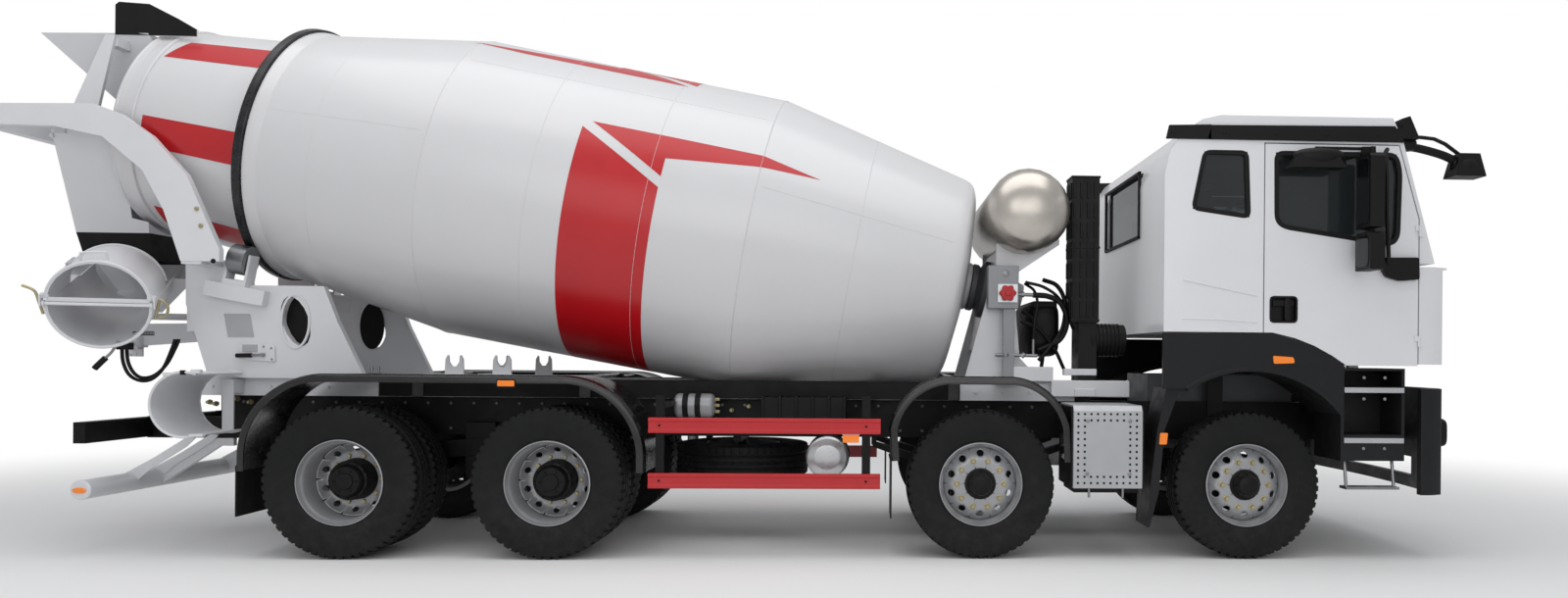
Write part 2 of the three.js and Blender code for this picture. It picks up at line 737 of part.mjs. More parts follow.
// Lies flat under the frame, with its carrier.
function spareWheel() {
  const section = [
    ...tyreSection(STEER_TYRE_WIDTH - 20),
    [262, 104],
    [200, 60],
    [0, 60],
    [0, 40],
    [190, 40],
    [250, -104],
  ];
  const wheel = turnedZ(section, WHEEL_SIDES);
  const hanger = block([-30, 30], [-400, 400], [150, RAIL_BOTTOM - GAP - SPARE_Z]);
  return join(wheel, hanger, block([-30, 30], [-60, 60], [50, 160]));
}

function addChassis() {
  place("chassis_frame", chassisFrame(), BLACK_STEEL);
  place("engine", engine(), GREY_STEEL);
  place("front_bumper", frontBumper(), BLACK_PLASTIC);
  for (const [side, word] of SIDES) {
    place(`wheel_arch_${word}`, fender(side), BLACK_PLASTIC);
    place(`side_guard_${word}`, sideGuard(side), RED);
  }
  place("mudguard_front", mudguardFront(), BLACK_PLASTIC);
  place("mudguard_rear", mudguardRear(), BLACK_PLASTIC);
  place("battery_box", batteryBox(), ALUMINIUM);
  place("fuel_tank", fuelTank(), ALUMINIUM);
  place("spare_wheel", spareWheel(), RUBBER).position.set(2600, 0, SPARE_Z);
  place("underrun_bar", underrunBar(), WHITE);
}

// ---------------------------------------------------------------- drum
// Local frame: x forward along the drum's axis, z square to it.
const drumFrame = new THREE.Group();
drumFrame.position.set(DRUM_X, 0, DRUM_Z);
drumFrame.rotation.y = DRUM_TILT;
truck.add(drumFrame);

const intoDrumFrame = new THREE.Matrix4().makeRotationY(DRUM_TILT).setPosition(DRUM_X, 0, DRUM_Z);
const tilted = (solid) => solidOf(geometryOf(solid).toNonIndexed().applyMatrix4(intoDrumFrame));

function drum() {
  const ringRear = RING_S - RING_WIDTH / 2;
  const ringFront = RING_S + RING_WIDTH / 2;
  const wall = DRUM_WALL;
  return turnedX(
    [
      [MOUTH_RADIUS + 22, MOUTH_S],
      [MOUTH_RADIUS + 22, MOUTH_S + 45],
      [NECK_RADIUS, ringRear - 60],
      [NECK_RADIUS + 8, ringRear],
      [RING_RADIUS, ringRear],
      [RING_RADIUS, ringFront],
      [RING_RADIUS - 24, ringFront + 40],
      [COLLAR_RADIUS, ringFront + 60],
      [BELLY_RADIUS, BELLY_START_S],
      [BELLY_RADIUS, BELLY_END_S],
      [FRONT_RADIUS, FRONT_S],
      [FRONT_RADIUS - 25, FRONT_S + 45],
      [FRONT_RADIUS - 110, FRONT_S + 85],
      [HEAD_FLAT_RADIUS, HEAD_S],
      [DRIVE_RADIUS, HEAD_S],
      [DRIVE_RADIUS, FLANGE_S],
      [0, FLANGE_S],
      [0, HEAD_S - wall],
      [HEAD_FLAT_RADIUS, HEAD_S - wall],
      [FRONT_RADIUS - 120, FRONT_S + 75],
      [FRONT_RADIUS - wall, FRONT_S],
      [BELLY_RADIUS - wall, BELLY_END_S],
      [BELLY_RADIUS - wall, BELLY_START_S],
      [COLLAR_RADIUS - wall, ringFront + 60],
      [NECK_RADIUS - wall, ringRear - 60],
      [MOUTH_RADIUS - wall, MOUTH_S + 60],
      [MOUTH_RADIUS - wall, MOUTH_S],
    ],
    DRUM_SIDES,
  );
}

const DRIVE_RADIUS = 190;
const ROLLER_REACH = RING_RADIUS + ROLLER_RADIUS + GAP;
const ROLLER_Y = ROLLER_REACH * Math.sin(ROLLER_ANGLE);
const ROLLER_DROP = ROLLER_REACH * Math.cos(ROLLER_ANGLE);
const AXLE_PIN = 28;

function roller() {
  const half = ROLLER_WIDTH / 2;
  return turnedX(
    [
      [AXLE_PIN + BORE_GAP, -half],
      [ROLLER_RADIUS, -half],
      [ROLLER_RADIUS, half],
      [AXLE_PIN + BORE_GAP, half],
    ],
    20,
  );
}

function addDrum() {
  place("drum", drum(), DRUM_WHITE, drumFrame);
  for (const [side, word] of SIDES) {
    place(`drum_roller_${word}`, roller(), BLACK_STEEL, drumFrame).position.set(
      RING_S,
      side * ROLLER_Y,
      -ROLLER_DROP,
    );
  }
  place("drum_drive", drumDrive(), GREY_STEEL, drumFrame);
}

// Gearbox bolted to the front of the pedestal, with its motor behind.
const GEARBOX_FACE = FLANGE_S + 130; // rear face of the pedestal's plate

function drumDrive() {
  return turnedX(
    [
      [0, FLANGE_S + GAP],
      [DRIVE_RADIUS, FLANGE_S + GAP],
      [DRIVE_RADIUS, FLANGE_S + 40],
      [DRIVE_RADIUS - 20, FLANGE_S + 60],
      [DRIVE_RADIUS + 40, GEARBOX_FACE - 40],
      [DRIVE_RADIUS + 40, GEARBOX_FACE - GAP],
      [0, GEARBOX_FACE - GAP],
    ],
    DRUM_SIDES,
  );
}

// ---------------------------------------------------------------- mixer body
// Subframe: two angles that sit on the rails and carry the trestle and the pedestal.
function subframe() {
  const parts = [];
  for (const side of [RIGHT, LEFT]) {
    const angle = [
      [side * (FRAME_HALF - RAIL_FLANGE), SUBFRAME_BOTTOM],
      [side * SUBFRAME_HALF, SUBFRAME_BOTTOM],
      [side * SUBFRAME_HALF, SUBFRAME_TOP],
      [side * (SUBFRAME_HALF - 75), SUBFRAME_TOP],
      [side * (SUBFRAME_HALF - 75), SUBFRAME_BOTTOM + 45],
      [side * (FRAME_HALF - RAIL_FLANGE), SUBFRAME_BOTTOM + 45],
    ];
    parts.push(alongX(angle, [SUBFRAME_REAR, SUBFRAME_FRONT]));
  }
  for (const x of [-1320, -150, 1000, 4780, 5140]) {
    parts.push(block([x - 40, x + 40], [-400, 400], [SUBFRAME_BOTTOM, SUBFRAME_BOTTOM + 45]));
  }
  return join(parts, pedestal());
}

// Two sloping legs, the gearbox plate between them and the cradle of the water tank.
function pedestal() {
  const parts = [];
  const leg = [
    [4330, SUBFRAME_TOP - 2],
    [4950, SUBFRAME_TOP - 2],
    [4760, 1420],
    [4700, 2080],
    [4590, 2110],
    [4555, 2060],
  ];
  for (const side of [RIGHT, LEFT]) {
    parts.push(acrossY(leg, [side * 460, side * 500]));
    const cradle = [
      [4575, 2060],
      [4720, 2060],
      [5060, 2290],
      [5060, 2330],
      [4575, 2400],
    ];
    parts.push(acrossY(cradle, [side * 462, side * 498]));
  }
  const plate = block([GEARBOX_FACE, GEARBOX_FACE + 40], [-498, 498], [-500, 290]);
  const motor = turnedX(
    [
      [0, GEARBOX_FACE + 20],
      [130, GEARBOX_FACE + 20],
      [130, GEARBOX_FACE + 190],
      [100, GEARBOX_FACE + 300],
      [0, GEARBOX_FACE + 300],
    ],
    16,
  );
  parts.push(tilted(join(plate, motor)));
  const bed = TANK_RADIUS + GAP;
  const space = turnedY([[0, -600], [bed, -600], [bed, 600], [0, 600]], TANK_SIDES);
  return cut(join(parts), moved(space, TANK[0], 0, TANK[1]));
}

const TANK = [4790, 2524]; // centre line of the water tank, x and z
const TANK_RADIUS = 312;
const TANK_HALF = 900;
const TANK_SIDES = 24;

function waterTank() {
  const end = TANK_HALF;
  const profile = [
    [0, -end],
    [120, -end + 12],
    [230, -end + 52],
    [290, -end + 115],
    [TANK_RADIUS, -end + 190],
    [TANK_RADIUS, end - 190],
    [290, end - 115],
    [230, end - 52],
    [120, end - 12],
    [0, end],
  ];
  const eye = bar([0, -12, TANK_RADIUS + 22], [0, 12, TANK_RADIUS + 22], 30, 12);
  return join(turnedY(profile, TANK_SIDES), eye, block([-14, 14], [-12, 12], [TANK_RADIUS - 20, TANK_RADIUS + 10]));
}

// Trestle plates, a cross box, the swept arms and the portal that carries hopper and collector.
function rearFrame() {
  const parts = [];
  const plate = [
    [-1221, SUBFRAME_TOP + GAP],
    [-98, SUBFRAME_TOP + GAP],
    [-300, 1640],
    [-400, 1900],
    [-920, 1900],
    [-1110, 1960],
    [-1110, 2080],
    [-1390, 2080],
    [-1386, 1760],
  ];
  const arm = [
    [-994, 2050],
    [-994, 2137],
    [-1226, 2660],
    [-1468, 2931],
    [-1680, 3082],
    [-1875, 3153],
    [PORTAL_REAR, 3140],
    [PORTAL_REAR, 2998],
    [-2142, 2990],
    [-1807, 2922],
    [-1531, 2689],
    [-1381, 2408],
    [-1262, 2050],
  ];
  for (const side of [RIGHT, LEFT]) {
    const hole = new THREE.Shape().absellipse(0, 0, 95, 190, 0, 2 * Math.PI, false, 0.32);
    const port = acrossY(hole, [side * 500, side * 700], 8);
    const wall = acrossY(plate, [side * TRESTLE_HALF, side * (TRESTLE_HALF - TRESTLE_PLATE)]);
    parts.push(cut(wall, moved(port, -600, 0, 1640)));
    parts.push(acrossY(arm, [side * ARM_OUTER, side * ARM_INNER]));
    parts.push(block([-1260, -1120], [side * (TRESTLE_HALF - 20), side * (ARM_OUTER - 5)], [2030, 2080]));
    parts.push(block([-1221, -98], [side * (TRESTLE_HALF - 2), side * (SUBFRAME_HALF - 70)], TRESTLE_FOOT));
    parts.push(rollerBracket(side));
    const post = [
      [-2230, 3120],
      [-2035, 3120],
      [-1905, 3715],
      [-1975, 3715],
    ];
    parts.push(acrossY(post, [side * POST_INNER, side * (POST_INNER + 28)]));
    parts.push(block([-2320, -2080], [side * 600, side * ARM_INNER], [3080, 3130]));
  }
  parts.push(block([-1380, -1250], [-TRESTLE_HALF + 5, TRESTLE_HALF - 5], [1560, 1760]));
  parts.push(block([PORTAL_REAR, PORTAL_REAR + 90], [-ARM_INNER - 5, ARM_INNER + 5], [3000, 3138]));
  parts.push(block([-2320, -2240], [-ARM_INNER - 5, ARM_INNER + 5], [3050, 3130]));
  return join(parts, chuteBearing());
}

const TRESTLE_FOOT = [SUBFRAME_TOP + GAP, SUBFRAME_TOP + 22];

// Two cheeks with the roller's fixed pin between them, standing on the trestle.
function rollerBracket(side) {
  const y = side * ROLLER_Y;
  const z = -ROLLER_DROP;
  const cheek = (s) => block([s - 9, s + 9], [y - 55, y + 55], [z - 190, z + 45]);
  const reach = ROLLER_WIDTH / 2 + 14;
  const pin = bar([RING_S - reach - 8, y, z], [RING_S + reach + 8, y, z], AXLE_PIN, 20);
  const foot = block([RING_S - reach - 9, RING_S + reach + 9], [y - 60, y + 60], [z - 215, z - 150]);
  const beam = block([RING_S - reach - 120, RING_S + reach + 160], [y - 70, y + 20], [z - 300, z - 190]);
  return tilted(join(cheek(RING_S - reach), cheek(RING_S + reach), pin, foot, beam));
}

// Bearing of the chute's post on a bracket behind the trestle.
function chuteBearing() {
  const bearing = turnedZ(
    [
      [POST_RADIUS + BORE_GAP, POST_BOTTOM],
      [POST_RADIUS + 28, POST_BOTTOM],
      [POST_RADIUS + 28, POST_TOP],
      [POST_RADIUS + BORE_GAP, POST_TOP],
    ],
    20,
  );
  const web = [
    [CHUTE_X + POST_RADIUS + 12, POST_TOP - 14],
    [-1300, 1640],
    [-1300, 1520],
    [CHUTE_X + POST_RADIUS + 12, POST_BOTTOM + 14],
  ];
  return join(moved(bearing, CHUTE_X, 0, 0), acrossY(web, [-26, 26]));
}

// Loading hopper over the drum's mouth, wider in front, with a rubber apron round its front.
function hopper() {
  const sides = (inset) => {
    const [rear, front] = HOPPER_HALVES.map((half) => half - inset);
    const top = HOPPER_TOP + inset;
    const foot = HOPPER_FOOT_HALF - inset;
    return sixSided(
      [
        [HOPPER_FOOT[0] + inset, -foot, HOPPER_BOTTOM - inset],
        [HOPPER_FOOT[1] - inset, -foot, HOPPER_BOTTOM - inset],
        [HOPPER_FOOT[1] - inset, foot, HOPPER_BOTTOM - inset],
        [HOPPER_FOOT[0] + inset, foot, HOPPER_BOTTOM - inset],
      ],
      [
        [HOPPER_REAR + inset, -rear, top],
        [HOPPER_FRONT - inset, -front, top],
        [HOPPER_FRONT - inset, front, top],
        [HOPPER_REAR + inset, rear, top],
      ],
    );
  };
  const bowl = cut(sides(0), sides(8));
  const apron = [
    [APRON_REAR, HOPPER_TOP - 15],
    [APRON_REAR, APRON_TOP - 25],
    [APRON_REAR + 25, APRON_TOP],
    [-1745, APRON_TOP - 12],
    [-1540, 3880],
    [-1400, 3800],
    [-1400, 3750],
  ];
  const strip = [
    [APRON_REAR + 2, APRON_TOP - 15],
    [-1705, 3940],
    [-1705, 3930],
    [APRON_REAR + 2, APRON_TOP - 27],
  ];
  const [low, high] = [HOPPER_HALVES[1] - 20, HOPPER_HALVES[1] - 4];
  return join(
    bowl,
    acrossY(apron, [-high, -low]),
    acrossY(apron, [low, high]),
    acrossY(strip, [-high, high]),
    postPads(),
  );
}

// Blocks on the hopper's flanks that its posts are bolted to.
function postPads() {
  return [RIGHT, LEFT].map((side) =>
    block([-1975, -1905], [side * (HOPPER_HALVES[0] - 20), side * (POST_INNER - GAP)], [HOPPER_TOP - 125, HOPPER_TOP - 60]),
  );
}

// Collector under the mouth, open to the drum, with a rubber skirt into the chute.
function collector() {
  const sides = (inset, drop = inset) =>
    funnel(
      [[-2420 + inset, -1880 - inset], [-290 + inset, 290 - inset], 2310 - drop],
      [[-2345 + inset, -1690 - inset], [-650 + inset, 650 - inset], 3020 + drop],
    );
  const mouth = tilted(
    turnedX(
      [
        [0, MOUTH_S - 20],
        [MOUTH_RADIUS + 60, MOUTH_S - 20],
        [MOUTH_RADIUS + 60, MOUTH_S + 900],
        [0, MOUTH_S + 900],
      ],
      48,
    ),
  );
  const skirt = (inset, drop = inset) =>
    funnel(
      [[-2405 + inset, -1895 - inset], [-215 + inset, 215 - inset], 2110 - drop],
      [[-2420 + inset, -1880 - inset], [-290 + inset, 290 - inset], 2310 + drop],
    );
  const lugs = [RIGHT, LEFT].map((side) =>
    block([-2320, -2240], [side * 560, side * 660], [2990, 3050 - GAP]),
  );
  const rearLip = block([-2362, -2338], [-640, 640], [2960, 2990]);
  return join(cut(sides(0), sides(8), mouth), cut(skirt(0), skirt(8)), lugs, rearLip);
}

function underrunBar() {
  const parts = [bar([-1730, -1180, 465], [-1730, 1180, 465], 68, 16)];
  for (const side of [RIGHT, LEFT]) {
    const strut = [
      [-1760, 500],
      [-1700, 410],
      [-1260, HITCH_BOTTOM - 60],
      [-1160, HITCH_BOTTOM - 60],
      [-1160, HITCH_BOTTOM - GAP],
      [-1350, HITCH_BOTTOM - GAP],
    ];
    parts.push(acrossY(strut, [side * 380, side * 425]));
  }
  return join(parts);
}

function addMixerBody() {
  place("subframe", subframe(), WHITE);
  place("rear_frame", rearFrame(), WHITE);
  place("hopper", hopper(), WHITE);
  place("collector", collector(), WHITE);
  place("water_tank", waterTank(), STAINLESS).position.set(TANK[0], 0, TANK[1]);
  place("air_intake", airIntake(), BLACK_PLASTIC);
  place("spare_chute", spareChute(), WHITE);
}

// Intake tower behind the cab, with the filter housing at its foot.
function airIntake() {
  return join(
    block([5130, 5340], [-640, -420], [1690, 2800]),
    block([5190, 5330], [-620, -350], [1150, 1700]),
    bar([5280, -500, 1560], [5560, -500, 1560], 120, 16),
    block([5200, 5300], [-560, -FRAME_HALF - GAP], [1000, 1200]),
  );
}

// Half-round trough carried across the back of the frame.
function spareChute() {
  const trough = (radius) => sweep([-1045, 1050], radius, 70, 290, 12);
  const outline = [...trough(225), ...trough(217).reverse()];
  const [near, far] = [-TRESTLE_HALF - 20, -1215];
  const strap = block([-1100, -1020], [near, near - 16], [830, SUBFRAME_TOP - 8]);
  const bracket = block([-1100, -1020], [near - 16, -SUBFRAME_HALF - GAP], [1110, SUBFRAME_TOP - 8]);
  return join(acrossY(outline, [far, near]), strap, bracket);
}

// ---------------------------------------------------------------- chute
const chuteFrame = new THREE.Group();
chuteFrame.position.set(CHUTE_X, 0, CHUTE_PIN_Z);
chuteFrame.rotation.z = CHUTE_YAW;
truck.add(chuteFrame);
const chuteSlope = new THREE.Group();
chuteSlope.rotation.y = CHUTE_SLOPE;
chuteFrame.add(chuteSlope);

const CHUTE_PIN = 20;
const LIFT_PIN = 12;
const ROD_RADIUS = 18;
const LIFT_FOOT = [112, POST_BOTTOM - CHUTE_PIN_Z - 42]; // on the post, in the swinging frame
const LIFT_EYE = [670, CHUTE_AXIS_W - CHUTE_RADIUS - 38]; // on the chute, in its sloping frame
const YOKE_INNER = CHUTE_INLET_HALF + RUN;

// Post, cross plate and the two ears that hold the chute's pins.
function chuteSwivel() {
  const low = POST_TOP - CHUTE_PIN_Z;
  const post = turnedZ(
    [
      [0, LIFT_FOOT[1] - 30],
      [POST_RADIUS, LIFT_FOOT[1] - 30],
      [POST_RADIUS, low + GAP],
      [POST_RADIUS + 40, low + GAP],
      [POST_RADIUS + 40, low + 30],
      [0, low + 30],
    ],
    20,
  );
  const parts = [post, block([-70, 70], [-YOKE_INNER - 30, YOKE_INNER + 30], [low + 20, low + 70])];
  for (const side of [RIGHT, LEFT]) {
    parts.push(block([-50, 50], [side * YOKE_INNER, side * (YOKE_INNER + 24)], [low + 20, 45]));
    parts.push(bar([0, side * (YOKE_INNER - 18), 0], [0, side * (YOKE_INNER + 20), 0], CHUTE_PIN - BORE_GAP, 16));
  }
  const [x, z] = LIFT_FOOT;
  for (const side of [RIGHT, LEFT]) {
    parts.push(block([0, x + 26], [side * 20, side * 32], [z - 28, z + 28]));
  }
  parts.push(bar([x, -26, z], [x, 26, z], LIFT_PIN, 12));
  return join(parts);
}

// A half-round trough; the wall runs from rim to rim below (or above) the centre line.
function halfPipe(from, to, rise) {
  const arc = (radius) =>
    Array.from({ length: 15 }, (_, i) => {
      const angle = Math.PI * (i / 14);
      return [radius * Math.cos(angle), rise * radius * Math.sin(angle)];
    });
  return alongX([...arc(CHUTE_RADIUS), ...arc(CHUTE_RADIUS - CHUTE_WALL).reverse()], [from, to]);
}

function chute() {
  const half = CHUTE_INLET_HALF;
  const trough = moved(halfPipe(-60, CHUTE_END_U, -1), 0, 0, CHUTE_AXIS_W);
  const reach = -CHUTE_INLET_BACK;
  const box = (inset) =>
    funnel(
      [[-330 + inset, 330 - inset], [-200 + inset, 200 - inset], -165 + inset],
      [[-reach + inset, 420 - inset], [-half + inset, half - inset], CHUTE_INLET_RIM + inset],
    );
  // outlines in u and across the chute that take off the box's rear corners
  const corners = (inset) =>
    [RIGHT, LEFT].map((side) => {
      const shift = inset * Math.SQRT1_2;
      const outline = [
        [CHUTE_INLET_CORNER - reach + 60 + shift, side * (half + 60 - shift)],
        [-reach - 60 + shift, side * (half - CHUTE_INLET_CORNER - 60 - shift)],
        [-reach - 300, side * (half + 300)],
      ];
      return solidOf(extruded(outline, 700).translate(0, 0, -300));
    });
  const inner = block([-40, 500], [-CHUTE_RADIUS + 9, CHUTE_RADIUS - 9], [CHUTE_AXIS_W - 60, 400]);
  const lip = half - CHUTE_INLET_CORNER;
  const back = block([-reach - 6, -reach + 10], [-lip, lip], [CHUTE_INLET_RIM - 40, CHUTE_INLET_RIM]);
  const cheeks = [RIGHT, LEFT].map((side) => {
    const ear = acrossY(
      [
        [-60, -45],
        [60, -45],
        [120, 150],
        [-120, 150],
      ],
      [side * (half - 12), side * half],
    );
    return join(
      cut(ear, bar([0, side * 300, 0], [0, side * 600, 0], CHUTE_PIN, 16)),
      block([-110, 110], [side * (half - 6), side * (half - 60)], [120, 150]),
    );
  });
  const room = cut(box(CHUTE_WALL), corners(CHUTE_WALL));
  const shell = cut(box(0), corners(0), room, inner, moved(innerBore(), 0, 0, CHUTE_AXIS_W));
  return join(trough, shell, cheeks, back, liftLugs(), flipEars());
}

// Two lugs and a pin under the trough for the lift cylinder's eye.
function liftLugs() {
  const [u, w] = LIFT_EYE;
  const lugs = [RIGHT, LEFT].map((side) =>
    block([u - 30, u + 30], [side * 18, side * 30], [w - 28, CHUTE_AXIS_W - CHUTE_RADIUS + 6]),
  );
  return join(lugs, bar([u, -24, w], [u, 24, w], LIFT_PIN, 12));
}

// The trough's clear space.
function innerBore() {
  const section = sweep([0, 0], CHUTE_RADIUS - CHUTE_WALL, 180, 360, 14);
  return alongX(section, [-61, 700]);
}

const FLIP_AXIS_W = CHUTE_AXIS_W + 12;

const FLIP_PIN = 11;
const FLIP_EAR = [CHUTE_RADIUS + 3, CHUTE_RADIUS + 14]; // inner and outer face

function flipEars() {
  const u = CHUTE_END_U + 12;
  return [RIGHT, LEFT].map((side) => {
    const ear = acrossY(
      [
        [u - 90, CHUTE_AXIS_W - 30],
        [u - 10, CHUTE_AXIS_W - 30],
        [u + 20, FLIP_AXIS_W - 6],
        [u + 20, FLIP_AXIS_W + 20],
        [u - 20, FLIP_AXIS_W + 20],
      ],
      FLIP_EAR.map((y) => side * y),
    );
    const root = block(
      [u - 80, u - 12],
      [side * (CHUTE_RADIUS - 5), side * FLIP_EAR[1]],
      [CHUTE_AXIS_W - 30, CHUTE_AXIS_W - 2],
    );
    return join(cut(ear, bar([u, side * 200, FLIP_AXIS_W], [u, side * 400, FLIP_AXIS_W], FLIP_PIN + BORE_GAP, 12)), root);
  });
}

// Flip-over extension: an upturned trough on a cross shaft at the chute's end.
function chuteExtension() {
  const u = CHUTE_END_U + 12;
  const shell = moved(halfPipe(u - FLIP_LENGTH, u - 4, 1), 0, 0, FLIP_AXIS_W);
  const parts = [shell];
  for (const side of [RIGHT, LEFT]) {
    parts.push(
      block(
        [u - 60, u + 18],
        [side * (FLIP_EAR[1] + 6), side * (FLIP_EAR[1] + 16)],
        [FLIP_AXIS_W - 18, FLIP_AXIS_W + 60],
      ),
      block(
        [u - 60, u - 10],
        [side * (CHUTE_RADIUS - 20), side * (FLIP_EAR[1] + 14)],
        [FLIP_AXIS_W + 32, FLIP_AXIS_W + 60],
      ),
    );
  }
  const reach = FLIP_EAR[1] + 12;
  parts.push(bar([u, -reach, FLIP_AXIS_W], [u, reach, FLIP_AXIS_W], FLIP_PIN, 12));
  return join(parts);
}

function addChute() {
  place("chute_swivel", chuteSwivel(), WHITE, chuteFrame);
  place("chute", chute(), WHITE, chuteSlope);
  place("chute_extension", chuteExtension(), WHITE, chuteSlope);
}

// Lift cylinder under the chute, drawn along the line between its two pins.
function addLift() {
  const slope = new THREE.Vector2(Math.cos(CHUTE_SLOPE), Math.sin(CHUTE_SLOPE));
  const eye = new THREE.Vector2(
    LIFT_EYE[0] * slope.x + LIFT_EYE[1] * slope.y,
    -LIFT_EYE[0] * slope.y + LIFT_EYE[1] * slope.x,
  );
  const foot = new THREE.Vector2(...LIFT_FOOT);
  const line = eye.clone().sub(foot);
  const length = line.length();
  const lift = new THREE.Group();
  lift.position.set(foot.x, 0, foot.y);
  lift.rotation.y = -Math.atan2(line.y, line.x);
  chuteFrame.add(lift);
  const eyeAt = (x, width, bore = LIFT_PIN + BORE_GAP) =>
    cut(bar([x, -width, 0], [x, width, 0], 26, 16), bar([x, -width - 1, 0], [x, width + 1, 0], bore, 16));
  const barrelEnd = length - 330;
  const barrel = join(
    turnedX(
      [
        [0, 20],
        [15, 20],
        [15, 60],
        [34, 60],
        [34, barrelEnd],
        [ROD_RADIUS + BORE_GAP, barrelEnd],
        [ROD_RADIUS + BORE_GAP, 80],
        [0, 80],
      ],
      16,
    ),
    eyeAt(0, 16),
  );
  const rod = join(
    bar([160, 0, 0], [length - 52, 0, 0], ROD_RADIUS, 16),
    bar([length - 60, 0, 0], [length - 18, 0, 0], 12, 12),
    eyeAt(length, 13, LIFT_PIN + EYE_GAP),
  );
  place("lift_barrel", barrel, BLACK_STEEL, lift);
  place("lift_rod", rod, ALUMINIUM, lift);
}

// ---------------------------------------------------------------- cab
const SIDE_PROFILE = [
  [CAB_REAR, CAB_SIDE_BOTTOM],
  [CAB_REAR, 2720],
  [5700, 2880],
  [5800, 3020],
  [5930, 3105],
  [6060, CAB_ROOF],
  [7290, CAB_ROOF],
  SHIELD_TOP,
  SHIELD_BASE,
];

// Outline moved inwards by a wall, for convex corners in either order.
function insetBy(outline, wall) {
  const points = outline.map(([x, z]) => new THREE.Vector2(x, z));
  const turn = THREE.ShapeUtils.area(points) > 0 ? 1 : -1;
  return points.map((point, i) => {
    const before = points[(i + points.length - 1) % points.length];
    const after = points[(i + 1) % points.length];
    const a = point.clone().sub(before).normalize();
    const b = after.clone().sub(point).normalize();
    const normal = new THREE.Vector2(-a.y - b.y, a.x + b.x).normalize().multiplyScalar(turn);
    const spread = Math.max(0.4, Math.sqrt((1 + a.dot(b)) / 2));
    const { x, y } = point.clone().add(normal.multiplyScalar(wall / spread));
    return [x, y];
  });
}

const DOOR_OUTLINE = [
  [DOOR_REAR, CAB_SIDE_BOTTOM],
  [DOOR_REAR, DOOR_TOP],
  [7335, DOOR_TOP],
  [DOOR_FRONT, 2420],
  [DOOR_FRONT, 1385],
  ...DOOR_SWEEP,
];
const WINDOW_OUTLINE = [
  [6452, 2880],
  [7318, 2880],
  [7350, 2760],
  [7337, 2290],
  [7281, 2238],
  [6513, 2352],
  [6457, 2400],
];
const QUARTER_OUTLINE = [
  [5943, 2880],
  [6250, 2880],
  [6268, 2418],
  [5862, 2474],
];
const REAR_WINDOW = [565, 2350, 2840]; // half width, low edge, high edge

function cabShell() {
  const outline = [...SIDE_PROFILE, [7490, SHIELD_BASE[1]], [7490, CAB_SIDE_BOTTOM]];
  const half = BODY_HALF;
  const inner = half - DOOR_THICK;
  const body = acrossY(outline, [-half, half]);
  const room = acrossY(insetBy(SIDE_PROFILE, CAB_WALL).concat([[7500, 2040], [7500, 1560], [CAB_REAR + 60, 1560]]), [
    -inner,
    inner,
  ]);
  const tools = [room];
  for (const side of [RIGHT, LEFT]) {
    const through = [side * (inner - 40), side * (half + 40)];
    tools.push(acrossY(insetBy(DOOR_OUTLINE, -RUN), through));
    tools.push(acrossY(QUARTER_OUTLINE, through));
    tools.push(block([7490 - RUN, 7700], through, [1300, 2100]));
  }
  tools.push(shieldPlate(60, 1130, 70));
  const [w, z0, z1] = REAR_WINDOW;
  tools.push(block([CAB_REAR - 20, CAB_REAR + 90], [-w, w], [z0, z1]));
  const posts = [RIGHT, LEFT].map((side) => postBarrel(side, DOOR_HINGE_Z[1]));
  return join(cut(body, tools), sill(), posts);
}

// Floor pan, sill beams and engine cover that close the cab below.
function sill() {
  const pan = acrossY(
    [
      [CAB_REAR, CAB_SIDE_BOTTOM - GAP + 1],
      [CAB_REAR, CAB_SIDE_BOTTOM + 24],
      [6900, CAB_SIDE_BOTTOM + 24],
      [6990, 1424],
      [FIREWALL, 1424],
      [FIREWALL, 1388],
      [6976, 1388],
      [6880, CAB_SIDE_BOTTOM + 1],
    ],
    [-BODY_HALF + DOOR_THICK + RUN, BODY_HALF - DOOR_THICK - RUN],
  );
  const firewall = block([FIREWALL - 32, FIREWALL], [-BODY_HALF + DOOR_THICK + RUN, BODY_HALF - DOOR_THICK - RUN], [1400, 2110]);
  const corner = [RIGHT, LEFT].map((side) =>
    block([CAB_REAR, CAB_REAR + 60], [side * 1100, side * BODY_HALF], [CAB_SIDE_BOTTOM, CAB_SIDE_BOTTOM + 40]),
  );
  return join(pan, firewall, corner, hingeLugs());
}

// Lugs under the floor that turn on the chassis ears.
function hingeLugs() {
  const [x, z] = CAB_HINGE;
  return [RIGHT, LEFT].map((side) => {
    const ys = [side * (HINGE_INNER + 8), side * (FRAME_HALF - 40)];
    const lug = acrossY(
      [
        [x - 90, 1400],
        [x - 40, z - 30],
        [x + 10, z - 42],
        [x + 42, z],
        [x - 14, 1400],
      ],
      ys,
    );
    return cut(lug, bar([x, side * 200, z], [x, side * 500, z], HINGE_PIN + BORE_GAP, 16));
  });
}

// A plate lying in the windscreen's plane: thickness, half width and inset at head and foot.
function shieldPlate(thick, halfWidth, inset) {
  const foot = new THREE.Vector2(...SHIELD_BASE);
  const head = new THREE.Vector2(...SHIELD_TOP);
  const along = head.clone().sub(foot).normalize();
  const out = new THREE.Vector2(along.y, -along.x);
  const low = foot.clone().addScaledVector(along, inset);
  const high = head.clone().addScaledVector(along, -inset);
  const corners = [
    low.clone().addScaledVector(out, -thick / 2 - 12),
    low.clone().addScaledVector(out, thick / 2 - 12),
    high.clone().addScaledVector(out, thick / 2 - 12),
    high.clone().addScaledVector(out, -thick / 2 - 12),
  ];
  return acrossY(
    corners.map(({ x, y }) => [x, y]),
    [-halfWidth, halfWidth],
  );
}

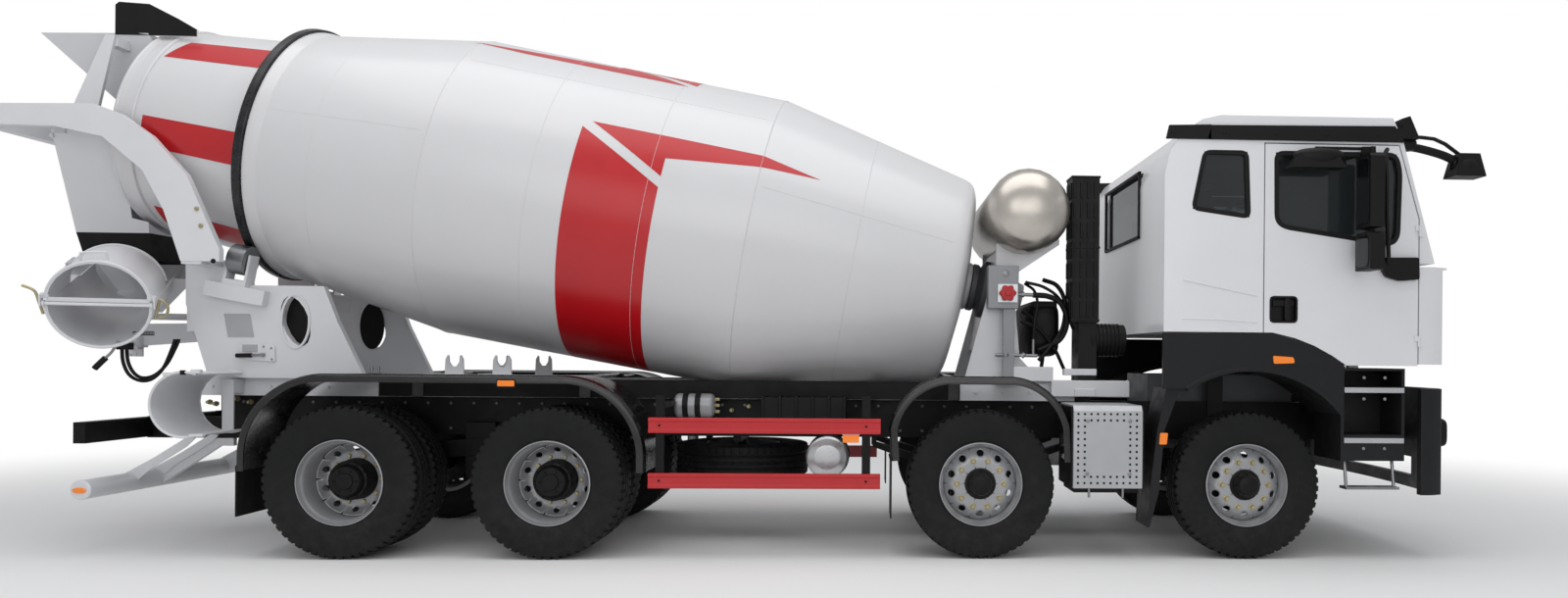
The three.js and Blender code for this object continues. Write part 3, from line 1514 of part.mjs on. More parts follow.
function cabInterior() {
  const floor = CAB_SIDE_BOTTOM + 24 + GAP;
  const parts = [block([5760, 6820], [-1050, 1050], [floor, floor + 30])];
  for (const side of [RIGHT, LEFT]) {
    const ys = [side * 420, side * 960];
    parts.push(block([6150, 6660], ys, [floor + 20, floor + 330]));
    parts.push(
      acrossY(
        [
          [6040, floor + 260],
          [5990, floor + 1010],
          [6090, floor + 1010],
          [6210, floor + 260],
        ],
        ys,
      ),
    );
    parts.push(block([5780, 6100], ys, [floor + 20, floor + 160]));
  }
  parts.push(block([5780, 6820], [-330, 330], [floor + 20, floor + 150]));
  parts.push(block([6780, 7200], [-140, 140], [floor + 2, floor + 240]));
  parts.push(block([7100, 7300], [-140, 140], [floor + 40, 1900]));
  return join(parts, dashboard());
}

function dashboard() {
  const half = BODY_HALF - DOOR_THICK - 2 * RUN;
  const fascia = acrossY(
    [
      [FIREWALL - 32 - GAP, 1760],
      [FIREWALL - 32 - GAP, 2160],
      [7400, 2190],
      [7180, 2130],
      [7150, 1960],
      [7280, 1760],
    ],
    [-half, half],
  );
  const column = bar([7200, STEERING_Y, 1950], [COLUMN_END[0], STEERING_Y, COLUMN_END[1]], 24, 12);
  return join(fascia, column);
}

const STEERING_Y = 690;
const COLUMN_END = [7072, 2070];
const COLUMN_LEAN = Math.atan2(COLUMN_END[1] - 1950, 7200 - COLUMN_END[0]);

// Rim, two spokes and a boss, turned about the column.
function steeringWheel() {
  const ring = Array.from({ length: 5 }, (_, i) => {
    const angle = (2 * Math.PI * i) / 5;
    return [212 + 14 * Math.cos(angle), 34 + 14 * Math.sin(angle)];
  });
  const boss = [
    [0, 0],
    [60, 0],
    [60, 40],
    [0, 44],
  ];
  return join(
    turnedZ(ring, 14),
    turnedZ(boss, 12),
    block([-20, 20], [-205, 205], [14, 30]),
    block([-205, 20], [-18, 18], [14, 30]),
  );
}

function door(side) {
  const outer = side * BODY_HALF;
  const inner = side * (BODY_HALF - DOOR_THICK);
  const leaf = acrossY(DOOR_OUTLINE, [outer, inner]);
  const opening = acrossY(WINDOW_OUTLINE, [side * (BODY_HALF + 10), side * (BODY_HALF - 90)]);
  const recess = block([6420, 6610], [side * (BODY_HALF + 5), side * (BODY_HALF - 30)], [1690, 1860]);
  const grip = block([6440, 6590], [side * (BODY_HALF - 4), side * (BODY_HALF - 18)], [1800, 1840]);
  const stub = block([6440, 6462], [side * (BODY_HALF - 10), side * (BODY_HALF - 34)], [1800, 1840]);
  const stub2 = block([6568, 6590], [side * (BODY_HALF - 10), side * (BODY_HALF - 34)], [1800, 1840]);
  return join(cut(leaf, opening, recess), grip, stub, stub2, DOOR_HINGE_Z.map((z) => doorBarrel(side, z)));
}

const DOOR_HINGE = [DOOR_FRONT + RUN / 2, BODY_HALF + 10]; // x and y of the pins
const DOOR_HINGE_Z = [1520, 2300]; // foot of each hinge
const DOOR_BARREL = 9;
const DOOR_PIN = 4;

// The door's half of a hinge stands on the half of the cab or front panel.
function doorBarrel(side, z) {
  const [x, y] = [DOOR_HINGE[0], side * DOOR_HINGE[1]];
  const low = z + 40 + GAP;
  const barrel = bar([x, y, low], [x, y, z + 78], DOOR_BARREL, 12);
  const leaf = block([x - 30, x], [y, side * (BODY_HALF - 10)], [low, z + 78]);
  return cut(join(barrel, leaf), bar([x, y, z], [x, y, z + 90], DOOR_PIN + BORE_GAP, 12));
}

function postBarrel(side, z) {
  const [x, y] = [DOOR_HINGE[0], side * DOOR_HINGE[1]];
  return join(
    bar([x, y, z], [x, y, z + 40], DOOR_BARREL, 12),
    bar([x, y, z + 38], [x, y, z + 74], DOOR_PIN, 12),
    block([x, x + 30], [y, side * (BODY_HALF - 10)], [z, z + 40]),
  );
}

function doorGlass(side) {
  return acrossY(insetBy(WINDOW_OUTLINE, GAP), [side * (BODY_HALF - 24), side * (BODY_HALF - 24 - GLASS)]);
}

function quarterGlass(side) {
  return acrossY(insetBy(QUARTER_OUTLINE, GAP), [side * (BODY_HALF - 14), side * (BODY_HALF - 14 - GLASS)]);
}

function frontPanel() {
  const shell = (inset, back) => {
    const shape = new THREE.Shape();
    const half = BODY_HALF - inset;
    const nose = CAB_FRONT + 15 - inset;
    shape.moveTo(back, -half);
    shape.lineTo(7600 - inset, -half);
    shape.quadraticCurveTo(nose - 60, -half, nose - 30, -half + 180);
    shape.quadraticCurveTo(nose, -500, nose, 0);
    shape.quadraticCurveTo(nose, 500, nose - 30, half - 180);
    shape.quadraticCurveTo(nose - 60, half, 7600 - inset, half);
    shape.lineTo(back, half);
    return shape;
  };
  const [low, high] = [1396, SHIELD_BASE[1] - 24];
  const outer = solidOf(extruded(shell(0, DOOR_FRONT + RUN), high - low, 2).translate(0, 0, low));
  const inner = solidOf(extruded(shell(40, 7400), high, 2).translate(0, 0, low - 20));
  const lidHole = block([7650, 7800], [-LID_HALF - RUN, LID_HALF + RUN], [LID_LOW - RUN, LID_TOP + 1]);
  const cowl = acrossY(
    [
      [FIREWALL + GAP, high],
      [FIREWALL + GAP, high - 14],
      [7720, high - 14],
      [7720, high],
    ],
    [-BODY_HALF + 60, BODY_HALF - 60],
  );
  const brace = block([FIREWALL + GAP, 7600], [-1100, 1100], [1420, 1450]);
  const tie = [RIGHT, LEFT].map((side) => block([7560, 7600], [side * 1000, side * 1220], [1420, 1450]));
  const web = [RIGHT, LEFT].map((side) => block([7560, 7735], [side * 940, side * 970], [1420, 1450]));
  const [x, z] = LID_AXIS;
  const hinges = [RIGHT, LEFT].map((side) => [
    bar([x, side * 300, z], [x, side * 340, z], LID_BARREL, 12),
    bar([x, side * 338, z], [x, side * 400, z], LID_PIN, 12),
    block([x - 22, x], [side * 302, side * 338], [z + 3, z + LID_BARREL]),
  ]);
  const posts = [RIGHT, LEFT].map((side) => postBarrel(side, DOOR_HINGE_Z[0]));
  return join(cut(outer, inner, lidHole), cowl, brace, tie, web, hinges.flat(), posts);
}

const LID_HALF = 800;
const LID_LOW = 1500;
const LID_TOP = 2010;
const LID_AXIS = [CAB_FRONT + 23, LID_TOP - 4];
const LID_BARREL = 9;
const LID_PIN = 4;

// Service lid in the cab's front, hung along its top edge.
function frontLid() {
  const skin = (inset) => {
    const shape = new THREE.Shape();
    const nose = CAB_FRONT + 15 - inset;
    shape.moveTo(nose - 10, -LID_HALF);
    shape.quadraticCurveTo(nose, -400, nose, 0);
    shape.quadraticCurveTo(nose, 400, nose - 10, LID_HALF);
    shape.lineTo(nose - 34, LID_HALF);
    shape.lineTo(nose - 34, -LID_HALF);
    return shape;
  };
  const plate = solidOf(extruded(skin(0), LID_TOP - RUN - LID_LOW, 2).translate(0, 0, LID_LOW));
  const [x, z] = LID_AXIS;
  const loops = [RIGHT, LEFT].map((side) => {
    const barrel = bar([x, side * (340 + GAP), z], [x, side * 400, z], LID_BARREL, 12);
    const web = block([x - 22, x], [side * (340 + GAP), side * 400], [z - 16, z - LID_BARREL + 4]);
    const pin = bar([x, side * 330, z], [x, side * 410, z], LID_PIN + BORE_GAP, 12);
    return cut(join(barrel, web), pin);
  });
  return join(plate, loops);
}

// Band under the roof with the sun visor, the kerb mirror and the front mirror.
function roofTrim() {
  const half = BODY_HALF + 14;
  const band = (ys) =>
    acrossY(
      [
        [5960, 2962],
        [5990, 3062],
        [7300, 3076],
        [7372, 2962],
      ],
      ys,
    );
  const parts = [
    band([-half, -BODY_HALF - GAP]),
    band([half, BODY_HALF + GAP]),
    acrossY(
      [
        [7372 - 2, 2990],
        [7340, 3130],
        [7400, 3150],
        [7470, 2990],
        [7455, 2985],
      ].map(([x, z]) => [x + 8, z]),
      [-half, half],
    ),
  ];
  for (const side of [RIGHT, LEFT]) {
    parts.push(block([7280, 7400], [side * half, side * (BODY_HALF + GAP)], [2990, 3060]));
  }
  const front = bent([[7440, -1180, 3020], [7640, -1190, 3000], [7850, -1180, 2870]], 14, 5, 6);
  const frontHead = funnel(
    [[7740, MIRROR_TIP], [-1260, -1090], 2735],
    [[7780, 7930], [-1240, -1110], 2900],
  );
  return join(parts, front, frontHead);
}

// Kerb mirror over the right door's window, on a rail along the door's upper edge.
function kerbMirror() {
  const face = -BODY_HALF - GAP;
  return [
    block([6730, 7100], [face - 12, face], [2904, 2924]),
    bent([[6760, -1258, 2912], [6750, -1315, 2890], [6740, -1350, 2830]], 12, 5, 6),
    funnel([[6500, 6880], [-1420, -1290], 2750], [[6560, 6830], [-1400, -1310], 2850]),
  ];
}

// Door mirror: a tall head and a small one on an arm from the door.
function mirror(side) {
  const y = side * 1450;
  const face = side * (BODY_HALF + GAP);
  const head = (low, high, half) =>
    alongX(
      [
        [y - half, low],
        [y - half, high - 20],
        [y - half + 20, high],
        [y + half - 20, high],
        [y + half, high - 20],
        [y + half, low],
      ],
      [6985, 7085],
    );
  const arm = (z) =>
    bent([[7110, side * (BODY_HALF + 14), z], [7100, side * 1340, z + 30], [7040, y, z + 20]], 13, 4, 6);
  return join(
    head(2330, 2830, 110),
    head(2040, 2300, 110),
    arm(2860),
    arm(2190),
    block([7030, 7060], [y - 20, y + 20], [2250, 2350]),
    block([7030, 7062], [y - 20, y + 20], [2800, 2890]),
    block([7030, 7230], [face, side * (BODY_HALF + 30)], [2135, 2245]),
    block([7060, 7150], [face, side * (BODY_HALF + 30)], [2835, 2925]),
    side === RIGHT ? kerbMirror() : [],
  );
}

function addCab() {
  place("cab_shell", cabShell(), WHITE);
  place("cab_interior", cabInterior(), TRIM);
  const wheel = place("steering_wheel", steeringWheel(), BLACK_PLASTIC);
  const lift = GAP / Math.SQRT2;
  wheel.position.set(COLUMN_END[0] - lift, STEERING_Y, COLUMN_END[1] + lift);
  wheel.rotation.y = -(Math.PI / 2 - COLUMN_LEAN);
  place("windscreen", shieldPlate(GLASS, 1130 - GAP, 70 + GAP), PANE);
  const [w, z0, z1] = REAR_WINDOW;
  place("rear_window", block([CAB_REAR + 20, CAB_REAR + 28], [-w + GAP, w - GAP], [z0 + GAP, z1 - GAP]), PANE);
  place("front_panel", frontPanel(), WHITE);
  place("front_lid", frontLid(), WHITE);
  place("roof_trim", roofTrim(), BLACK_PLASTIC);
  for (const [side, word] of SIDES) {
    place(`quarter_window_${word}`, quarterGlass(side), PANE);
    place(`door_${word}`, door(side), WHITE);
    place(`door_glass_${word}`, doorGlass(side), PANE);
    place(`mirror_${word}`, mirror(side), BLACK_PLASTIC);
  }
}

addWheels();
addKnuckles();
addAxles();
addChassis();
addDrum();
addMixerBody();
addChute();
addLift();
addCab();

truck.position.x = -(PORTAL_REAR + MIRROR_TIP) / 2;

export default truck;
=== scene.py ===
"""Looks of a concrete mixer truck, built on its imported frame. Metres, +X to the front, +Z up."""

import json
import math

import bmesh
import bpy
import numpy as np
from mathutils import Matrix, Vector

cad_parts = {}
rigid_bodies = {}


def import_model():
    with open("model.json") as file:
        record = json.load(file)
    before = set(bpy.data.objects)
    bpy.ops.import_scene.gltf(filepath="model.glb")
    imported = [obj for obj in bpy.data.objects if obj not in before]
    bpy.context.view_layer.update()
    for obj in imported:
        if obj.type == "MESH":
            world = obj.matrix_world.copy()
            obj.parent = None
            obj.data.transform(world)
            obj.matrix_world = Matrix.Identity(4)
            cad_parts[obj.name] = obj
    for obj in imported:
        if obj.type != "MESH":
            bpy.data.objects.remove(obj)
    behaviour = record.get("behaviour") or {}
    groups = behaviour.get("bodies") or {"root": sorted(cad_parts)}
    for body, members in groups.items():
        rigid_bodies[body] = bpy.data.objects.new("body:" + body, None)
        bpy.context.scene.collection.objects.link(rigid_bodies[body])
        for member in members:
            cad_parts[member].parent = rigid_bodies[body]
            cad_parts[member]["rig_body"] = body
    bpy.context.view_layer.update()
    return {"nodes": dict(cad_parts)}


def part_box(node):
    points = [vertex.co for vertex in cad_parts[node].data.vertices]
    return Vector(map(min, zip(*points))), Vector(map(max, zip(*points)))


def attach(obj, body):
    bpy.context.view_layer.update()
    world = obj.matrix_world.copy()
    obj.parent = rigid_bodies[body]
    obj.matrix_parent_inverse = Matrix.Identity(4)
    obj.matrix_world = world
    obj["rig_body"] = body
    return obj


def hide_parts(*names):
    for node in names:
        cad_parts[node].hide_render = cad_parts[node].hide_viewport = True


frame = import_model()
NODES = frame["nodes"]
RIGHT, LEFT = -1, 1
SIDES = ((RIGHT, "right"), (LEFT, "left"))
PI = math.pi

# ---------------------------------------------------------------- places
REAR_AXLE = float(sum(p[0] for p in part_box("twin_wheels_2_right")) / 2)
SECOND_AXLE_X, FRONT_AXLE_X, WHEEL_Z = 4400, 6300, 525  # from the rearmost axle, and above the ground
STEER_OUT, TWIN_OUT, TWIN_IN = 1.030, 1.095, 0.765  # middles of the tyres, from the truck's middle plane
RAIL_OUT, DECK_OUT = 431, 541  # outer faces of the frame's rails and of the subframe


def at(x, y, z):
    """Millimetres from the ground under the rearmost axle, as a point of the frame."""
    return np.array([REAR_AXLE + x * 0.001, y * 0.001, z * 0.001])


def ats(points):
    """Rows of (x, y, z) millimetres as points of the frame."""
    p = np.asarray(points, float) * 0.001
    p[..., 0] += REAR_AXLE
    return p


class Axis:
    """A line with two square directions: a point is origin + along*a + e1*b + e2*c."""

    def __init__(self, origin, along, up=(0, 0, 1)):
        self.o = np.array(origin, float)
        self.a = np.array(along, float) / np.linalg.norm(along)
        e1 = np.cross(np.array(up, float), self.a)
        self.e1 = e1 / np.linalg.norm(e1)
        self.e2 = np.cross(self.a, self.e1)

    def __call__(self, a, b, c):
        a, b, c = np.broadcast_arrays(a, b, c)
        return self.o + a[..., None] * self.a + b[..., None] * self.e1 + c[..., None] * self.e2


TILT = math.radians(10.45)
DRUM = Axis(at(-1080, 0, 3007), (math.cos(TILT), 0, -math.sin(TILT)), (0, 0, 1))
YAW, SLOPE = math.radians(-66), math.radians(16)
CHUTE = Axis(
    at(-2150, 0, 1960),
    (math.cos(SLOPE) * math.cos(YAW), math.cos(SLOPE) * math.sin(YAW), -math.sin(SLOPE)),
)

# ---------------------------------------------------------------- shapes: (points, faces)
def skin(P, wrap_u=False, wrap_v=False):
    """Quads over a grid of points P[u, v]; a wrapped direction joins its last row to its first."""
    nu, nv = P.shape[:2]
    idx = np.arange(nu * nv).reshape(nu, nv)
    a, b = (idx, np.roll(idx, -1, 0)) if wrap_u else (idx[:-1], idx[1:])
    pick = lambda m: (m, np.roll(m, -1, 1)) if wrap_v else (m[:, :-1], m[:, 1:])
    (a0, a1), (b0, b1) = pick(a), pick(b)
    return P.reshape(-1, 3), np.stack([a0, b0, b1, a1], -1).reshape(-1, 4).tolist()


def closed_skin(P):
    """A grid that wraps along v, with a flat face over its first and last ring."""
    V, F = skin(P, wrap_v=True)
    n, m = P.shape[:2]
    return V, F + [list(range(m))[::-1], list(range((n - 1) * m, n * m))]


def turned(axis, profile, steps=48, closed=True):
    """Profile (a, r) swept round the axis: point(i, t) = axis(a_i, r_i cos t, r_i sin t)."""
    p = np.asarray(profile, float)
    t = np.linspace(0, 2 * PI, steps, endpoint=False)
    P = axis(p[:, :1], p[:, 1:] * np.cos(t), p[:, 1:] * np.sin(t))
    return skin(P, wrap_u=closed, wrap_v=True)


def smooth_line(points, per=8):
    """Catmull-Rom curve through points: each span is the usual cubic of its four neighbours."""
    p = np.asarray(points, float)
    q = np.vstack([2 * p[0] - p[1], p, 2 * p[-1] - p[-2]])
    t = np.linspace(0, 1, per, endpoint=False)[:, None]
    out = [
        0.5 * (2 * b + (c - a) * t + (2 * a - 5 * b + 4 * c - d) * t**2 + (3 * b - a - 3 * c + d) * t**3)
        for a, b, c, d in zip(q[:-3], q[1:-2], q[2:-1], q[3:])
    ]
    return np.vstack(out + [p[-1:]])


def frames_along(line):
    """Two directions square to a line, carried along it without twist."""
    tangent = np.gradient(line, axis=0)
    tangent /= np.linalg.norm(tangent, axis=1)[:, None]
    seed = np.array([0, 0, 1.0]) if abs(tangent[0][2]) < 0.9 else np.array([1.0, 0, 0])
    normals = []
    n = np.cross(tangent[0], seed)
    for t in tangent:
        n = n - t * (n @ t)
        n /= np.linalg.norm(n)
        normals.append(n)
    normals = np.array(normals)
    return normals, np.cross(tangent, normals)


def hose(points, radius, sides=12, per=8, ribs=0.0):
    """Circle carried along a smooth line; ribs swell every other ring."""
    line = smooth_line(points, per) if per else np.asarray(points, float)
    n, b = frames_along(line)
    t = np.linspace(0, 2 * PI, sides, endpoint=False)
    r = radius * (1 + ribs * (np.arange(len(line)) % 2))[:, None, None]
    ring = np.cos(t)[None, :, None] * n[:, None] + np.sin(t)[None, :, None] * b[:, None]
    return closed_skin(line[:, None] + r * ring)


def rod(a, b, radius, sides=16):
    """Straight round bar with flat ends."""
    axis = Axis(a, np.subtract(b, a), (0.3, 0.2, 1))
    length = float(np.linalg.norm(np.subtract(b, a)))
    t = np.linspace(0, 2 * PI, sides, endpoint=False)
    s = np.array([[0.0], [length]])
    return closed_skin(axis(s, radius * np.cos(t), radius * np.sin(t)))


def slab(x, y, z):
    """Six-sided block between two values on each axis, in millimetres."""
    (x0, x1), (y0, y1), (z0, z1) = sorted(x), sorted(y), sorted(z)
    ring = lambda h: [[x0, y0, h], [x1, y0, h], [x1, y1, h], [x0, y1, h]]
    return closed_skin(ats([ring(z0), ring(z1)]))


def prism(outline, span, plane="xz"):
    """Outline in one plane carried straight across it, in millimetres."""
    o = np.asarray(outline, float)
    rings = []
    for h in span:
        col = np.full(len(o), float(h))
        rings.append(np.stack({"xz": [o[:, 0], col, o[:, 1]], "yz": [col, o[:, 0], o[:, 1]],
                               "xy": [o[:, 0], o[:, 1], col]}[plane], 1))
    return closed_skin(ats(rings))


def arc(cx, cz, r, a0, a1, n=24):
    """Points of a circle's arc in degrees."""
    t = np.radians(np.linspace(a0, a1, n))
    return [[cx + r * c, cz + r * s] for c, s in zip(np.cos(t), np.sin(t))]


def round_corner(a, b, c, bend, n, share):
    """Parabola (1-t)^2 s + 2t(1-t) b + t^2 e from one shoulder of corner b to the other."""
    u, v = a - b, c - b
    lu, lv = np.linalg.norm(u), np.linalg.norm(v)
    s, e = b + u / lu * min(bend, lu / share), b + v / lv * min(bend, lv / share)
    t = np.linspace(0, 1, n)[:, None]
    return (1 - t) ** 2 * s + 2 * t * (1 - t) * b + t**2 * e


def rounded_profile(points, bend=0.03, n=5):
    """Each inner corner of a polyline becomes a short parabola through its two shoulders."""
    p = np.asarray(points, float)
    corners = [round_corner(a, b, c, bend, n, 2.2) for a, b, c in zip(p[:-2], p[1:-1], p[2:])]
    return np.vstack([p[:1], *corners, p[-1:]])


def bolts(points, along, radius, height, sides=6):
    """Low prisms with a small chamfer, one at each point, standing along a direction."""
    profile = np.array([[-0.002, 0], [-0.002, 1], [0.75, 1], [1, 0.82], [1, 0]])
    profile = np.stack([np.where(profile[:, 0] < 0, -0.002, profile[:, 0] * height), profile[:, 1] * radius],
                       1)
    return [turned(Axis(p, along, (0.31, 0.17, 1)), profile, sides, closed=False) for p in points]


# ---------------------------------------------------------------- pieces
def mesh_object(name, mesh, finish, body, smooth, bevel, thick, segments, offset):
    """Object at the origin with its finish, its rounded edges and its wall."""
    ob = bpy.data.objects.new(name, mesh)
    bpy.context.scene.collection.objects.link(ob)
    for m in finish if isinstance(finish, (list, tuple)) else [finish]:
        mesh.materials.append(m)
    mesh.shade_smooth()
    mesh.set_sharp_from_angle(angle=math.radians(smooth))
    if thick:
        wall = ob.modifiers.new("wall", "SOLIDIFY")
        wall.thickness, wall.offset = thick, offset
    if bevel:
        edge = ob.modifiers.new("edges", "BEVEL")
        edge.width, edge.segments, edge.limit_method = bevel, segments, "ANGLE"
        edge.angle_limit = math.radians(32)
        edge.use_clamp_overlap = True
        edge.harden_normals = True
    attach(ob, body)
    return ob


def piece(
    name, shapes, finish, body, bevel=0.0, smooth=35, replaces=(), thick=0.0, segments=2, offset=-1
):
    """One object made of one or more shapes; its faces are turned outwards."""
    shapes = [shapes] if isinstance(shapes, tuple) else shapes
    verts, faces, n = [], [], 0
    for V, F in shapes:
        verts.append(V)
        faces += [[i + n for i in f] for f in F]
        n += len(V)
    mesh = bpy.data.meshes.new(name)
    mesh.from_pydata(np.concatenate(verts), [], faces)
    bm = bmesh.new()
    bm.from_mesh(mesh)
    bmesh.ops.remove_doubles(bm, verts=bm.verts, dist=2e-6)
    bmesh.ops.recalc_face_normals(bm, faces=bm.faces)
    bm.to_mesh(mesh)
    bm.free()
    ob = mesh_object(name, mesh, finish, body, smooth, bevel, thick, segments, offset)
    if replaces:
        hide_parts(*([replaces] if isinstance(replaces, str) else replaces))
    return ob


def refined(node, finish, bevel=0.004, smooth=35, pick=None, name=None):
    """A merged copy of a CAD node with rounded edges. pick gives each face's finish from its centre."""
    mesh = NODES[node].data.copy()
    mesh.name = name or node + "_skin"
    mesh.materials.clear()
    bm = bmesh.new()
    bm.from_mesh(mesh)
    bmesh.ops.remove_doubles(bm, verts=bm.verts, dist=1e-5)
    bmesh.ops.dissolve_limit(bm, angle_limit=math.radians(0.6), verts=bm.verts, edges=bm.edges)
    if pick:
        for f in bm.faces:
            f.material_index = pick(f.calc_center_median())
    bm.to_mesh(mesh)
    bm.free()
    for key in [a.name for a in mesh.attributes if a.name.startswith(("custom_normal", "normal"))]:
        mesh.attributes.remove(mesh.attributes[key])
    ob = mesh_object(mesh.name, mesh, finish, NODES[node]["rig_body"], smooth, bevel, 0, 2, -1)
    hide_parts(node)
    return ob


# ---------------------------------------------------------------- finishes
def rgb(code):
    """Hex screen colour as linear light."""
    c = [int(code[i : i + 2], 16) / 255 for i in (0, 2, 4)]
    return [x / 12.92 if x <= 0.04045 else ((x + 0.055) / 1.055) ** 2.4 for x in c]


class Finish:
    """Node tree helper: one Principled shader, object coordinates and short calls for each node."""

    def __init__(self, name, colour, rough, metal=0.0, **sockets):
        self.m = bpy.data.materials.new(name)
        self.m.use_nodes = True
        self.t = self.m.node_tree
        self.b = self.t.nodes["Principled BSDF"]
        self.b.inputs["Base Color"].default_value = (*colour, 1)
        self.b.inputs["Roughness"].default_value = rough
        self.b.inputs["Metallic"].default_value = metal
        for key, value in sockets.items():
            self.b.inputs[key.replace("_", " ")].default_value = value
        self.p = self.t.nodes.new("ShaderNodeTexCoord").outputs["Object"]
        self.m.diffuse_color = (*colour, 1)

    def node(self, kind, **inputs):
        n = self.t.nodes.new("ShaderNode" + kind)
        for key, value in inputs.items():
            self.set(n, key.replace("_", " "), value)
        return n

    def set(self, n, key, value):
        s = n.inputs[int(key)] if key.isdigit() else n.inputs[key]
        if isinstance(value, bpy.types.NodeSocket):
            self.t.links.new(value, s)
        else:
            s.default_value = value

    def noise(self, scale, detail=3.0, stretch=None, rough=0.55):
        v = self.p
        if stretch:
            m = self.node("Mapping", Vector=v)
            m.inputs["Scale"].default_value = stretch
            v = m.outputs[0]
        n = self.node("TexNoise", Vector=v, Scale=scale, Detail=detail, Roughness=rough)
        return n.outputs[0]

    def ramp(self, value, low, high, to_low=0.0, to_high=1.0):
        n = self.node("MapRange", Value=value)
        n.interpolation_type = "SMOOTHSTEP"
        for key, x in zip(("From Min", "From Max", "To Min", "To Max"), (low, high, to_low, to_high)):
            n.inputs[key].default_value = x
        return n.outputs[0]

    def times(self, a, b):
        n = self.node("Math")
        n.operation = "MULTIPLY"
        self.set(n, "0", a)
        self.set(n, "1", b)
        return n.outputs[0]

    def mix(self, factor, a, b):
        n = self.t.nodes.new("ShaderNodeMix")
        n.data_type = "RGBA"
        self.set(n, "0", factor)
        for i, c in ((6, a), (7, b)):
            if isinstance(c, bpy.types.NodeSocket):
                self.t.links.new(c, n.inputs[i])
            else:
                n.inputs[i].default_value = (*c, 1)
        return n.outputs[2]

    def height(self):
        return self.node("SeparateXYZ", Vector=self.p).outputs[2]

    def link(self, value, socket):
        self.t.links.new(value, self.b.inputs[socket])

    def bump(self, value, distance, strength=0.5):
        n = self.node("Bump", Height=value, Distance=distance, Strength=strength)
        self.t.links.new(n.outputs[0], self.b.inputs["Normal"])


def finish(
    name, colour, rough=0.4, metal=0.0, vary=0.06, dust=0.25, dust_top=1.6, grain=400.0, relief=0.0002,
    dust_colour=(0.33, 0.30, 0.26), streak=0.0, patch=3.0, uneven=0.06, **sockets
):
    """Paint, metal or moulding: slow patches of colour, dust that thins upwards, uneven gloss, fine grain."""
    f = Finish(name, colour, rough, metal, **sockets)
    slow = f.ramp(f.noise(patch, 4), 0.3, 0.7)
    base = f.mix(slow, [c * (1 - vary) for c in colour], [min(1, c * (1 + vary)) for c in colour])
    if streak:
        runs = f.ramp(f.noise(9, 3, (1, 1, 0.08)), 0.5, 0.8, 0, streak)
        base = f.mix(runs, base, dust_colour)
    if dust:
        low = f.ramp(f.height(), 0.1, dust_top, dust, dust * 0.08)
        specks = f.ramp(f.noise(14, 6, rough=0.7), 0.35, 0.75, 0.15, 1)
        base = f.mix(f.times(low, specks), base, dust_colour)
    f.link(base, "Base Color")
    f.link(f.ramp(f.noise(patch * 4, 5), 0.3, 0.75, max(0.03, rough - uneven), min(1, rough + uneven * 1.6)),
           "Roughness")
    f.bump(f.noise(grain, 2), relief)
    return f.m


def brushed(name, colour, rough=0.3, direction=(1, 30, 30), metal=1.0, vary=0.12):
    """Metal with fine lines along one direction and slow tarnish."""
    f = Finish(name, colour, rough, metal)
    lines = f.noise(40, 4, direction)
    slow = f.noise(4, 4)
    base = f.mix(f.ramp(slow, 0.3, 0.7), [c * (1 - vary) for c in colour],
                 [min(1, c * (1 + vary)) for c in colour])
    f.link(base, "Base Color")
    f.link(f.ramp(lines, 0.3, 0.7, rough - 0.08, rough + 0.12), "Roughness")
    f.bump(lines, 0.0003)
    return f.m


WHITE = finish("white_gloss", rgb("dcdde0"), 0.3, vary=0.012, dust=0.04, dust_top=1.9, grain=160,
               relief=0.00005, uneven=0.015, Coat_Weight=0.5, Coat_Roughness=0.12)
BODY_WHITE = finish("white_body_paint", rgb("d9dadd"), 0.33, vary=0.02, dust=0.08, dust_top=2.0, grain=120,
                    relief=0.0001, uneven=0.02, Coat_Weight=0.3, Coat_Roughness=0.2, streak=0.02)
DRUM_WHITE = finish("white_drum_paint", rgb("d2d2d4"), 0.3, vary=0.012, dust=0.1, dust_top=2.2, grain=60,
                    relief=0.0001, uneven=0.02, Coat_Weight=0.35, Coat_Roughness=0.18, patch=1.2)
RED = finish("red_gloss", rgb("b90e18"), 0.34, vary=0.03, dust=0.02, dust_top=1.8, grain=160, relief=0.00005,
             uneven=0.02, Coat_Weight=0.2, Coat_Roughness=0.2)
BLACK = finish("black_chassis_paint", rgb("070708"), 0.45, vary=0.15, dust=0.025, dust_top=1.3, grain=220,
               relief=0.0004, Specular_IOR_Level=0.22)
GUARD = finish("black_gloss_moulding", rgb("070708"), 0.26, vary=0.1, dust=0.02, dust_top=1.5, grain=90,
               relief=0.0003, Coat_Weight=0.35, Coat_Roughness=0.15)
FENDER = finish("dark_grey_moulding", rgb("1b1c1e"), 0.42, vary=0.06, dust=0.02, dust_top=1.5, grain=900,
                relief=0.0003, Specular_IOR_Level=0.22)
PLASTIC = finish("black_plastic", rgb("0f0f10"), 0.45, vary=0.1, dust=0.01, grain=900, relief=0.0004,
                 Specular_IOR_Level=0.22)
RUBBER = finish("rubber", rgb("141415"), 0.62, vary=0.12, dust=0.04, dust_top=1.2, grain=300, relief=0.0006,
                Specular_IOR_Level=0.22)
TYRE = finish("tyre_rubber", rgb("111213"), 0.6, vary=0.12, dust=0.08, dust_top=0.9, grain=260, relief=0.0008,
              dust_colour=(0.16, 0.15, 0.14), Specular_IOR_Level=0.22)
HOSE = finish("hose_rubber", rgb("0e0e0f"), 0.38, vary=0.1, dust=0.01, grain=700, relief=0.0003,
              Specular_IOR_Level=0.22)
SILVER = finish("silver_wheel_paint", rgb("a4a5a8"), 0.36, 0.4, vary=0.05, dust=0.12, dust_top=0.9, grain=300)
